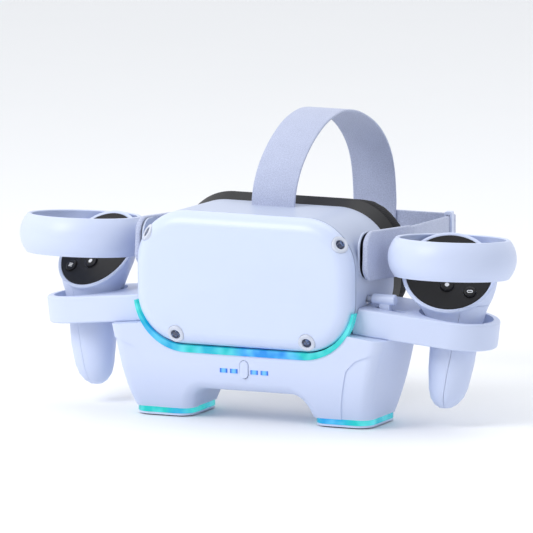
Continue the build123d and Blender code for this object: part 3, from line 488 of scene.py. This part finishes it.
for label, place in cameras.items():
    for part, profile, material, node, slot in (
            ("bezel", BEZEL_PROFILE, bezel_plastic, "camera_bezels", "camera_bezel"),
            ("lens", LENS_PROFILE, camera_glass, "camera_lenses", "camera_glass")):
        bm = bmesh.new()
        turned_part(bm, profile, place)
        nodes = [node] if label == "upper_left" else []
        finished(f"{label}_{part}", bm, material, "headset", *nodes)


# ---------------------------------------------------------------- face side of the visor
# A black frame clips to the housing's back and carries the lens tubes. Clear moulded lenses close
# the tubes in front of the display.
def clear_lens():
    made = Finish("eye_lens", Roughness=0.03, IOR=1.52, Transmission_Weight=0.9, Coat_Weight=0.5)
    here = made.place()
    rings = made.noise(here, 40.0, 1.0) * 0.3 + 0.35
    made.wire(Base_Color=made.blend(rings, (0.75, 0.82, 0.95), (0.60, 0.70, 0.90)))
    return made.material


def bright_metal(name, colour, rough):
    made = Finish(name, Metallic=1.0)
    here = made.place()
    drawn = made.noise(here, 700.0, 2.0)
    made.wire(Base_Color=made.blend(drawn, colour, tuple(0.82 * c for c in colour)))
    made.wire(Roughness=rough + 0.10 * drawn)
    return made.material


def printed_board():
    made = Finish("printed_board", Roughness=0.4, Coat_Weight=0.4)
    here = made.place()
    grid = made.node("ShaderNodeTexBrick", None, {"Vector": here, "Scale": 180.0, "Mortar Size": 0.03})
    copper = Value(made, grid.outputs["Fac"]) * 0.7
    made.wire(Base_Color=made.blend(copper, (0.01, 0.11, 0.05), (0.06, 0.28, 0.12)))
    return made.material


def wrapped_cell():
    made = Finish("cell_wrap", Roughness=0.35)
    here = made.place()
    made.wire(Base_Color=made.blend(made.noise(here, 90.0), (0.03, 0.06, 0.16), (0.06, 0.10, 0.24)))
    return made.material


def soft_rubber():
    made = Finish("soft_rubber", Roughness=0.75)
    here = made.place()
    made.wire(Base_Color=made.blend(made.noise(here, 300.0), (0.02, 0.02, 0.022),
                                    (0.035, 0.035, 0.038)))
    made.bump(made.noise(here, 1500.0), 0.00005)
    return made.material


steel = bright_metal("plated_steel", (0.66, 0.67, 0.69), 0.24)
gold = bright_metal("gold_plate", (0.86, 0.62, 0.26), 0.22)
dress(black_plastic, "face_frame", "left_lens_barrel", "right_lens_barrel", "display_panel")
dress(clear_lens(), "left_lens", "right_lens")
dress(printed_board(), "headset_main_board", "dock_circuit_board")
dress(wrapped_cell(), "headset_battery", "left_battery", "right_battery")
dress(steel, "magnetic_puck", "connector_tip", "power_socket", "dock_screws")
dress(gold, "controller_contacts")
dress(grey_plastic, "headset_power_button")
dress(soft_rubber(), "rubber_feet")


# ---------------------------------------------------------------- face cushion
# Soft foam in a black knitted cover, hollowed for the face and the nose. It is inflated a little as
# cloth, so the cover swells between its edges.
def knit_cover():
    made = Finish("knit_cover", Roughness=0.9, Specular_IOR_Level=0.2, Sheen_Weight=0.05,
                  Sheen_Roughness=0.5)
    here = made.place()
    rib = made.node("ShaderNodeTexWave", {"bands_direction": "X"}, {"Vector": here, "Scale": 300.0})
    course = made.node("ShaderNodeTexWave", {"bands_direction": "Z"}, {"Vector": here, "Scale": 300.0})
    loop = Value(made, rib.outputs["Fac"]) * Value(made, course.outputs["Fac"])
    made.wire(Base_Color=made.blend(loop + 0.3 * made.noise(here, 120.0), (0.006, 0.006, 0.008),
                                    (0.020, 0.020, 0.024)))
    made.bump(loop + 0.3 * made.noise(here, 2200.0), 0.00018)
    return made.material


def merged_node(name):
    """A copy of a CAD node's mesh with its split edges merged, to shape further."""
    copy = bmesh.new()
    copy.from_mesh(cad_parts[name].data)
    bmesh.ops.remove_doubles(copy, verts=copy.verts, dist=0.00001)
    return copy


CUSHION_VOXEL = 0.0042
SWELL_CAP = 0.004
PRESSURE = 3.0
LAST_FRAME = 14
bm = merged_node("face_cushion")
cushion = finished("cushion", bm, knit_cover(), "headset", "face_cushion", smooth=pi)
remesh = cushion.modifiers.new("even", "REMESH")
remesh.mode, remesh.voxel_size = "VOXEL", CUSHION_VOXEL
even = settled(cushion)
bm = bmesh.new()
bm.from_mesh(even)
for _ in range(3):
    bmesh.ops.smooth_vert(bm, verts=bm.verts, factor=0.5, use_axis_x=True, use_axis_y=True,
                          use_axis_z=True)
bm.to_mesh(even)
bm.free()
before = [v.co.copy() for v in even.vertices]
cloth = cushion.modifiers.new("swell", "CLOTH")
cloth.settings.use_pressure = True
cloth.settings.uniform_pressure_force = PRESSURE
cloth.settings.effector_weights.gravity = 0.0
for step in range(1, LAST_FRAME + 1):
    scene.frame_set(step)
swollen = settled(cushion)
scene.frame_set(1)
for vertex, start in zip(swollen.vertices, before):
    move = vertex.co - start
    if move.length > SWELL_CAP:
        vertex.co = start + move * (SWELL_CAP / move.length)
finer = cushion.modifiers.new("finer", "SUBSURF")
finer.levels = finer.render_levels = 1
cushion.data.polygons.foreach_set("use_smooth", [True] * len(cushion.data.polygons))


# ---------------------------------------------------------------- strap webbing
# Heathered lavender elastic, woven in a fine rib. Each strap carries a map of its own cloth, along
# and across it in metres, so that the ribs follow it round.
def woven_elastic():
    made = Finish("woven_elastic", Roughness=0.82, Sheen_Weight=0.25, Sheen_Roughness=0.6)
    cloth_map = made.node("ShaderNodeAttribute", {"attribute_name": "cloth"}).outputs["Vector"]
    apart = made.node("ShaderNodeSeparateXYZ", None, {0: cloth_map})
    along, across = Value(made, apart.outputs["X"]), Value(made, apart.outputs["Y"])
    pitch = 2 * pi / 0.0011
    rib = (along * pitch + (across * pitch * 0.5).sine() * 1.2).sine() * 0.5 + 0.5
    yarn = (across * pitch * 1.3).sine() * 0.5 + 0.5
    heather = made.noise(cloth_map, 1000.0, 4.0, 0.75)
    cloud = made.noise(cloth_map, 90.0, 2.0)
    tone = heather * 1.5 + cloud * 0.15 + rib * 0.14 - 0.45
    made.wire(Base_Color=made.blend(tone, (0.28, 0.32, 0.48), (0.64, 0.70, 0.90)))
    made.bump(rib * 0.5 + yarn * 0.3 + heather * 0.9, 0.00022)
    return made.material


web = woven_elastic()
MM = 0.001


def strap(name, route, sizes, lay, body, *nodes):
    """Sweeps a band with rounded edges along a route of places, with a (width, thickness) for each.
    lay is the direction across the band."""
    bm = bmesh.new()
    cloth = bm.verts.layers.float_vector.new("cloth")
    loops, run = [], 0.0
    for index, (here, (width, thick)) in enumerate(zip(route, sizes)):
        before, after = route[max(index - 1, 0)], route[min(index + 1, len(route) - 1)]
        ahead = (after - before).normalized()
        across = (lay - ahead * lay.dot(ahead)).normalized()
        out = ahead.cross(across)
        turn = Matrix((across, out, ahead)).transposed().to_4x4()
        known = set(bm.verts)
        loops.append(outline(bm, width, thick, 0.45 * thick, Matrix.Translation(here) @ turn, 4))
        run += (here - before).length
        for vert in set(bm.verts) - known:
            offset = vert.co - here
            vert[cloth] = (run, offset.dot(across), offset.dot(out))
    skin(bm, loops, first=True, last=True)
    piece = finished(name, bm, web, body, *nodes, smooth=radians(60))
    return piece


def smooth_route(points, steps=7):
    """Places along a smooth line through a strap's guide points."""
    ends = [2 * points[0] - points[1], *points, 2 * points[-1] - points[-2]]
    route = []
    for a, b, c, d in zip(ends, ends[1:], ends[2:], ends[3:]):
        for step in range(steps):
            t = step / steps
            bend = 2 * a - 5 * b + 4 * c - d + t * (3 * (b - c) + d - a)
            route.append(b + 0.5 * t * (c - a + t * bend))
    return route + [points[-1]]


TOP_ROUTE = ((62, 154.5), (63.2, 163), (67, 172.5), (75, 183.5), (86, 193), (100, 201.8),
             (118, 209.6), (137, 213.9), (157, 215), (181, 211.3), (205, 203), (222, 194.2),
             (236, 183), (245.5, 171), (251, 158), (253.6, 144), (254.4, 133), (253.6, 123),
             (253.2, 106))
TOP_SIZE = (0.035, 0.002)
top_route = smooth_route([Vector((0, front + depth * MM, z * MM)) for depth, z in TOP_ROUTE])
top = strap("crown_strap", top_route, [TOP_SIZE] * len(top_route), Vector((1, 0, 0)), None,
            "top_strap")
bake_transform(top)

BAND_FALL = 0.083
PIVOT = (50, 127)
BAND_CORNERS = ((-91, 90), (-91, 110), (-66, 256), (66, 256), (91, 110), (91, 90))
BEND_RADII = (60, 13, 13, 60)
corners = [Vector((x, y, PIVOT[1] - BAND_FALL * (y - PIVOT[0]))) for x, y in BAND_CORNERS]
band_route = [corners[0]]
for before, corner, after, radius in zip(corners, corners[1:], corners[2:], BEND_RADII):
    one, two = (before - corner).normalized(), (after - corner).normalized()
    half = one.angle(two) / 2
    middle = corner + (one + two).normalized() * radius / sin(half)
    start = (corner + one * radius * cos(half) / sin(half) - middle).normalized()
    end = (corner + two * radius * cos(half) / sin(half) - middle).normalized()
    band_route += [middle + radius * start.slerp(end, step / 8) for step in range(9)]
band_route.append(corners[-1])
band_route = [Vector((p.x * MM, front + p.y * MM, p.z * MM)) for p in band_route]
band_sizes = [(0.0355 - 0.0015 * (p.y - band_route[0].y) / 0.166, 0.0026) for p in band_route]
strap("rear_band", band_route, band_sizes, Vector((0, 0, 1)), "headband", "rear_strap")

# Padded sleeve round each side arm: thicker in front, with round corners.
SLEEVE = (0.020, 0.102)
SLEEVE_HEIGHT, SLEEVE_CORNER = 0.037, 0.012
SLEEVE_THICK, SLEEVE_BACK_THICK = 0.0046, 0.0034
for side, name in ((-1, "left"), (1, "right")):
    steps = [SLEEVE_CORNER * (1 - cos(k / 14 * pi / 2)) for k in range(15)]
    steps += [SLEEVE[1] - SLEEVE[0] - back for back in (0.05, 0.03, 0.012, 0.0015, 0.0005, 0.0)]
    route, sizes = [], []
    for run in steps:
        depth = SLEEVE[0] + run
        route.append(Vector((side * 0.0915, front + depth, 0.127 - BAND_FALL * (depth - 0.05))))
        cut = SLEEVE_CORNER - sqrt(SLEEVE_CORNER ** 2 - max(SLEEVE_CORNER - run, 0) ** 2)
        left = SLEEVE[1] - SLEEVE[0] - run
        puff = min(1, sqrt(1 - (1 - min(run / 0.0022, 1)) ** 2) + 0.12) * min(1, 0.82 + left * 120)
        thick = SLEEVE_THICK + (SLEEVE_BACK_THICK - SLEEVE_THICK) * min(run / 0.04, 1)
        sizes.append((SLEEVE_HEIGHT - 2 * cut, thick * puff))
    strap(name + "_sleeve", route, sizes, Vector((0, 0, 1)), "headband", name + "_strap_arm")


# ---------------------------------------------------------------- controller rings
# A bulged hollow band round each hand, moulded in two shells that meet in a fine groove on the rim.
# It hides the tracking lights.
def arc(centre, radius, half_height, sign, steps=14):
    """Points up a bulge, as (radius, height)."""
    reach = asin(half_height / radius)
    angles = [reach * (2 * step / steps - 1) * sign for step in range(steps + 1)]
    return [(centre + radius * cos(angle), radius * sin(angle)) for angle in angles]


def handed(bm, side):
    """Puts a right-hand piece, built in millimetres behind the visor's face, on its side."""
    bmesh.ops.transform(bm, matrix=Matrix.Translation((0, front, 0)) @ Matrix.Diagonal(
        (side * MM, MM, MM, 1)), verts=bm.verts)
    return bm


RING_PLACE = Matrix.Translation((148.5, 50.5, 127.7)) @ Matrix.Rotation(radians(-4.5), 4, "X")
RING_HALF = 14.5
outer = arc(26.0, 21.6, RING_HALF - 0.9, 1, 18)
inner = arc(18.4, 25.2, RING_HALF - 0.7, -1, 14)
rim_out, rim_in = outer[-1][0], inner[0][0]
rim = [(rim_out - 0.35, RING_HALF - 0.25), (rim_out - 0.95, RING_HALF),
       (rim_in + 1.35, RING_HALF), (rim_in + 1.3, RING_HALF - 0.3),
       (rim_in + 1.1, RING_HALF - 0.3), (rim_in + 1.05, RING_HALF), (rim_in + 0.7, RING_HALF),
       (rim_in + 0.2, RING_HALF - 0.2)]
profile = outer + rim + inner + [(radius, -height) for radius, height in rim[::-1]]
for side, name in ((-1, "left"), (1, "right")):
    bm = bmesh.new()
    turned_part(bm, profile + profile[:1], RING_PLACE, 128)
    ring = finished(name + "_ring", handed(bm, side), white_plastic, name + "_controller",
                    name + "_tracking_ring")


# ---------------------------------------------------------------- controller handles
# Each handle is two mouldings, the body with its round head and the battery cover on the outer
# side of the grip. Both are walls two millimetres thick, with windows for the trigger and the grip
# button. A short flared neck joins the head to the ring.
FACE = Vector((141.9, 60.6, 115.3))
FACE_PLACE = Matrix.Translation(FACE) @ Matrix.Rotation(radians(21), 4, "Z") @ Matrix.Rotation(
    radians(90 - 41), 4, "X")
FACE_RIM = ((32.3, -2.4), (32.3, -0.3), (32.9, 0), (34.2, 0), (34.8, -0.4), (35, -1.2))
GRIP = ((20, 142.1, (42.4, 87.5), (85.6, 136.8), 34.5), (18, 142.8, (43.4, 84.6), (88.8, 130), 32.5),
        (15, 143.8, (44.2, 81), (91, 121), 29.5), (11, 144.8, (44.6, 77), (92, 111), 25.6),
        (7, 145.6, (44.6, 72), (90.6, 99), 22), (3, 146, (44, 66), (85.5, 84), 19.4),
        (0, 145.5, (43.4, 56), (79.8, 68), 17.9), (0, 144.3, (42.6, 42), (75.3, 48), 16.9),
        (0, 142.8, (43.4, 28), (71.6, 30), 14.6), (0, 142.0, (45.2, 21.8), (69.0, 22.8), 12.4),
        (0, 141.3, (48, 17.2), (65, 17.6), 8.6), (0, 141, (51.6, 14.8), (61.2, 15), 4.8),
        (0, 141, (55.4, 14.2), (57.4, 14.2), 1))
COVER_TOP, COVER_TIP = Vector((157, 61, 92)), Vector((142.7, 61, 17))
COVER_OUT = Vector((COVER_TOP.z - COVER_TIP.z, 0, COVER_TIP.x - COVER_TOP.x)).normalized()
COVER_GAP = 0.13


def hoop(bm, place, steps=64):
    """A closed round loop of edges, one unit in radius until the matrix sizes and places it."""
    made = bmesh.ops.create_circle(bm, segments=steps, radius=1)["verts"]
    bmesh.ops.transform(bm, matrix=place, verts=made)
    return list({edge for vert in made for edge in vert.link_edges})


def grip_skin():
    """The whole outside of a handle, from the lip round its face down to its tip."""
    bm = bmesh.new()
    loops = [hoop(bm, FACE_PLACE @ Matrix.Translation((0, 0, rise)) @ Matrix.Diagonal((r, r, 1, 1)))
             for r, rise in FACE_RIM]
    for turn, x, low, high, half in GRIP:
        low, high = Vector((x, *low)), Vector((x, *high))
        across, along = Vector((1, 0, 0)), (high - low) / 2
        size = Matrix((half * across, along, across.cross(along).normalized())).transposed().to_4x4()
        loops.append(hoop(bm, Matrix.Translation((low + high) / 2) @ Matrix.Rotation(
            radians(turn), 4, "Z") @ size))
    skin(bm, loops, last=True)
    bmesh.ops.recalc_face_normals(bm, faces=bm.faces)
    return bm


def block(low, high, round_by):
    """A closed block with round edges, used to cut a window."""
    bm = bmesh.new()
    bmesh.ops.create_cube(bm, size=1)
    middle = [(a + b) / 2 for a, b in zip(low, high)]
    bmesh.ops.scale(bm, vec=[b - a for a, b in zip(low, high)], verts=bm.verts)
    bmesh.ops.translate(bm, vec=middle, verts=bm.verts)
    bmesh.ops.bevel(bm, geom=bm.edges, offset=round_by, affect="EDGES", segments=4, profile=0.5,
                    material=-1)
    return bm


NECK_X, NECK_Z = 139, 122.5
NECK = ((84, 20, 13, 5), (90.4, 23, 15, 6), (92.4, 26, 17.5, 7), (94.3, 30, 21, 8))
for side, name in ((-1, "left"), (1, "right")):
    bm = bmesh.new()
    loops = [outline(bm, width, tall, corner, Matrix.Translation((NECK_X, depth, NECK_Z)) @
                     Matrix.Rotation(pi / 2, 4, "X"), 8) for depth, width, tall, corner in NECK]
    skin(bm, loops, first=True, last=True)
    neck = finished(name + "_neck", handed(bm, side), white_plastic, name + "_controller")

HANDLE_WALL = 0.002
grip_low, grip_high = ((corner - Vector((0, front, 0))) / MM
                       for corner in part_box("right_grip_button"))
TRIGGER_WINDOW = (137.7, 80, 96.8), (154.7, 106, 111)
GRIP_GAP = 0.4
GRIP_WINDOW = ((118, grip_low.y - GRIP_GAP, grip_low.z - GRIP_GAP),
               (136, grip_high.y + GRIP_GAP, grip_high.z + GRIP_GAP))
for side, name in ((-1, "left"), (1, "right")):
    for part in ("handle", "cover"):
        bm = grip_skin()
        gap = COVER_GAP if part == "cover" else -COVER_GAP
        for place, facing in ((COVER_TOP + gap * COVER_OUT, COVER_OUT),
                              (COVER_TOP - Vector((0, 0, gap)), Vector((0, 0, 1)))):
            bmesh.ops.bisect_plane(bm, geom=bm.verts[:] + bm.edges[:] + bm.faces[:], dist=0.0001,
                                   plane_co=place, plane_no=facing)
        beyond = [face for face in bm.faces
                  if (face.calc_center_median() - COVER_TOP).dot(COVER_OUT) > gap
                  and face.calc_center_median().z < COVER_TOP.z - gap]
        spare = set(bm.faces) - set(beyond) if part == "cover" else beyond
        bmesh.ops.delete(bm, geom=list(spare), context="FACES")
        body, node = (name + "_controller", name + "_handle_shell") if part == "handle" else (
            name + "_battery_cover_body", name + "_battery_cover")
        piece = finished(f"{name}_{part}_moulding", handed(bm, side), white_plastic, body, node)
        walled(piece, HANDLE_WALL)
        if part == "handle":
            windows = []
            for label, cutter in (("trigger_window", block(*TRIGGER_WINDOW, 2)),
                                  ("grip_window", block(*GRIP_WINDOW, 5.9))):
                handed(cutter, side)
                bmesh.ops.recalc_face_normals(cutter, faces=cutter.faces)
                windows.append(cutter_object(label, cutter))
            with_windows(piece, windows)
        edge = piece.modifiers.new("soft_edge", "BEVEL")
        edge.width, edge.segments = 0.00018, 2
        edge.limit_method, edge.angle_limit = "ANGLE", radians(50)


# ---------------------------------------------------------------- controller faces
# A gloss black disc closes each head. The thumbstick stands up through it with a knurled, dished
# cap, beside three round keys with printed signs.
def gloss_black():
    made = Finish("gloss_black", IOR=1.45, Specular_IOR_Level=0.35, Coat_Weight=0.08,
                  Coat_Roughness=0.2)
    here = made.place()
    smear = made.noise(here, 35.0, 4.0, 0.65)
    made.wire(Base_Color=made.blend(smear, (0.008, 0.008, 0.010), (0.014, 0.014, 0.016)))
    made.wire(Roughness=0.30 + 0.10 * smear)
    return made.material


black_gloss = gloss_black()
print_white = moulded_plastic("printed_white", (0.86, 0.87, 0.88), (0.78, 0.79, 0.81), 0.5)
dress(black_gloss, "left_face_plate", "right_face_plate")
dress(black_plastic, "left_stick_gimbal", "right_stick_gimbal")

STICK = (-12, 12)
STICK_PROFILE = ((0, -10.3), (1.9, -9.8), (3.3, -8.4), (3.8, -6.5), (3.4, -4.8), (3.0, -4.2),
                 (3.0, 3.2), (4.5, 4.1), (7.6, 4.4), (8.7, 4.9), (9, 5.7), (9, 6.5), (8.8, 7.1),
                 (8.2, 7.6), (7.5, 7.7), (6.8, 7.4), (6.2, 7.1), (4.4, 6.8), (2.2, 6.6), (0, 6.55))
KNURLS, KNURL_FROM, KNURL_IN = 36, 8.6, 0.965
SIGN_LOW, SIGN_TOP = 1.40, 1.66
KEYS = {"upper": ((9, 3.5), 5), "lower": ((-1.4, -11.8), 5), "menu": ((15.6, -17.6), 4.4)}


def key_profile(radius):
    return ((0, -4), (radius, -4), (radius, 0.9), (radius - 0.2, 1.35), (radius - 0.7, 1.6),
            (radius * 0.6, 1.52), (radius * 0.3, 1.45), (0, 1.43))


def printed_sign(name, side):
    """Marks a key's top: a ring, a disc, a rounded bar's outline or three bars."""
    bm = bmesh.new()

    def band(width, height, corner, line):
        loops = [outline(bm, width - 2 * inset, height - 2 * inset, corner - inset,
                         Matrix.Translation((0, 0, rise)), 8)
                 for inset, rise in ((0, SIGN_LOW), (0, SIGN_TOP), (line, SIGN_TOP), (line, SIGN_LOW))]
        skin(bm, loops + loops[:1])

    def disc(width, height, x, y):
        loops = [outline(bm, width, height, 0.49 * min(width, height),
                         Matrix.Translation((x, y, rise)), 8) for rise in (SIGN_LOW, SIGN_TOP)]
        skin(bm, loops, first=True, last=True)

    if name == "upper":
        band(4.4, 4.4, 2.19, 0.75)
    elif name == "lower":
        disc(3.2, 3.2, 0, 0)
    elif side > 0:
        band(4.4, 2.3, 1.14, 0.6)
    else:
        for y in (-1.15, 0, 1.15):
            disc(3.6, 0.55, 0, y)
    return bm


for side, name in ((-1, "left"), (1, "right")):
    bm = bmesh.new()
    turned_part(bm, STICK_PROFILE, Matrix.Identity(4), 2 * KNURLS)
    for vert in bm.verts:
        x, y, _ = vert.co
        if x * x + y * y > KNURL_FROM ** 2 and round(atan2(y, x) * KNURLS / pi) % 2:
            vert.co.x, vert.co.y = KNURL_IN * x, KNURL_IN * y
    bmesh.ops.transform(bm, matrix=FACE_PLACE @ Matrix.Translation((*STICK, 0)), verts=bm.verts)
    stick = finished(name + "_stick", handed(bm, side), black_plastic, name + "_thumbstick_body",
                     name + "_thumbstick")
    for key, (spot, radius) in KEYS.items():
        place = FACE_PLACE @ Matrix.Translation((*spot, 0))
        bm = bmesh.new()
        turned_part(bm, key_profile(radius), place)
        body = f"{name}_{key}_button_body"
        cap = finished(f"{name}_{key}_key", handed(bm, side), black_gloss, body,
                       f"{name}_{key}_button")
        bm = printed_sign(key, side)
        bmesh.ops.transform(bm, matrix=place, verts=bm.verts)
        sign = finished(f"{name}_{key}_sign", handed(bm, side), print_white, body)


# ---------------------------------------------------------------- triggers and grip buttons
# The trigger is a curved paddle under the head, hinged inside it. The grip button is a domed pill
# on the inner side of the grip.
TRIGGER_X = 146.2
TRIGGER = (((83, 101.5), (82.4, 108.6), 6), ((84.6, 101.2), (84.5, 109.1), 6.9),
           ((89, 100), (91, 107.5), 7.3), ((91.2, 99), (93.6, 105.5), 7.45),
           ((92.5, 97.6), (95.5, 102.6), 7.5), ((93.5, 95.4), (96.7, 99.2), 7.5),
           ((94, 92.9), (97, 95.4), 7.3), ((93.8, 90.4), (96.4, 91.4), 7.0),
           ((93.5, 88.6), (95.6, 88.5), 6.4), ((93.6, 87.6), (95, 87.4), 4.8))
GRIP_KEY_DOME = ((0, 6.4), (0, 1.6), (0.35, 0.85), (1.1, 0.3), (2.4, 0.05), (4.2, 0.0))
key_size, key_middle = grip_high - grip_low, (grip_low + grip_high) / 2
aside = Vector((1, 0, 0))
for side, name in ((-1, "left"), (1, "right")):
    bm = bmesh.new()
    loops = []
    for low, high, half in TRIGGER:
        low, high = Vector((TRIGGER_X, *low)), Vector((TRIGGER_X, *high))
        along = (high - low).normalized()
        turn = Matrix((aside, along, aside.cross(along))).transposed().to_4x4()
        thick = (high - low).length
        place = Matrix.Translation((low + high) / 2) @ turn
        loops.append(outline(bm, 2 * half, thick, 0.42 * thick, place, 5))
    skin(bm, loops, first=True, last=True)
    paddle = finished(name + "_paddle", handed(bm, side), white_plastic, name + "_trigger_body",
                      name + "_trigger")

    bm = bmesh.new()
    loops = []
    for inset, out in GRIP_KEY_DOME:
        spot = Matrix.Translation((grip_low.x + out, key_middle.y, key_middle.z))
        loops.append(outline(bm, key_size.z - 2 * inset, key_size.y - 2 * inset,
                             key_size.y / 2 - inset - 0.02,
                             spot @ Matrix.Rotation(-pi / 2, 4, "Y"), 10))
    skin(bm, loops, first=True, last=True)
    key = finished(name + "_grip_key", handed(bm, side), white_plastic, name + "_grip_button_body",
                   name + "_grip_button")


FLOOR_HALF = 6
bm = bmesh.new()
bmesh.ops.create_grid(bm, x_segments=1, y_segments=1, size=FLOOR_HALF)
mesh = bpy.data.meshes.new("floor")
bm.to_mesh(mesh)
bm.free()
floor = bpy.data.objects.new("floor", mesh)
scene.collection.objects.link(floor)
paper = Finish("floor_paper", Roughness=0.6)
paper.wire(Base_Color=paper.blend(paper.noise(paper.place(), 3.0), (0.93, 0.94, 0.96),
                                  (0.90, 0.915, 0.94)))
mesh.materials.append(paper.material)
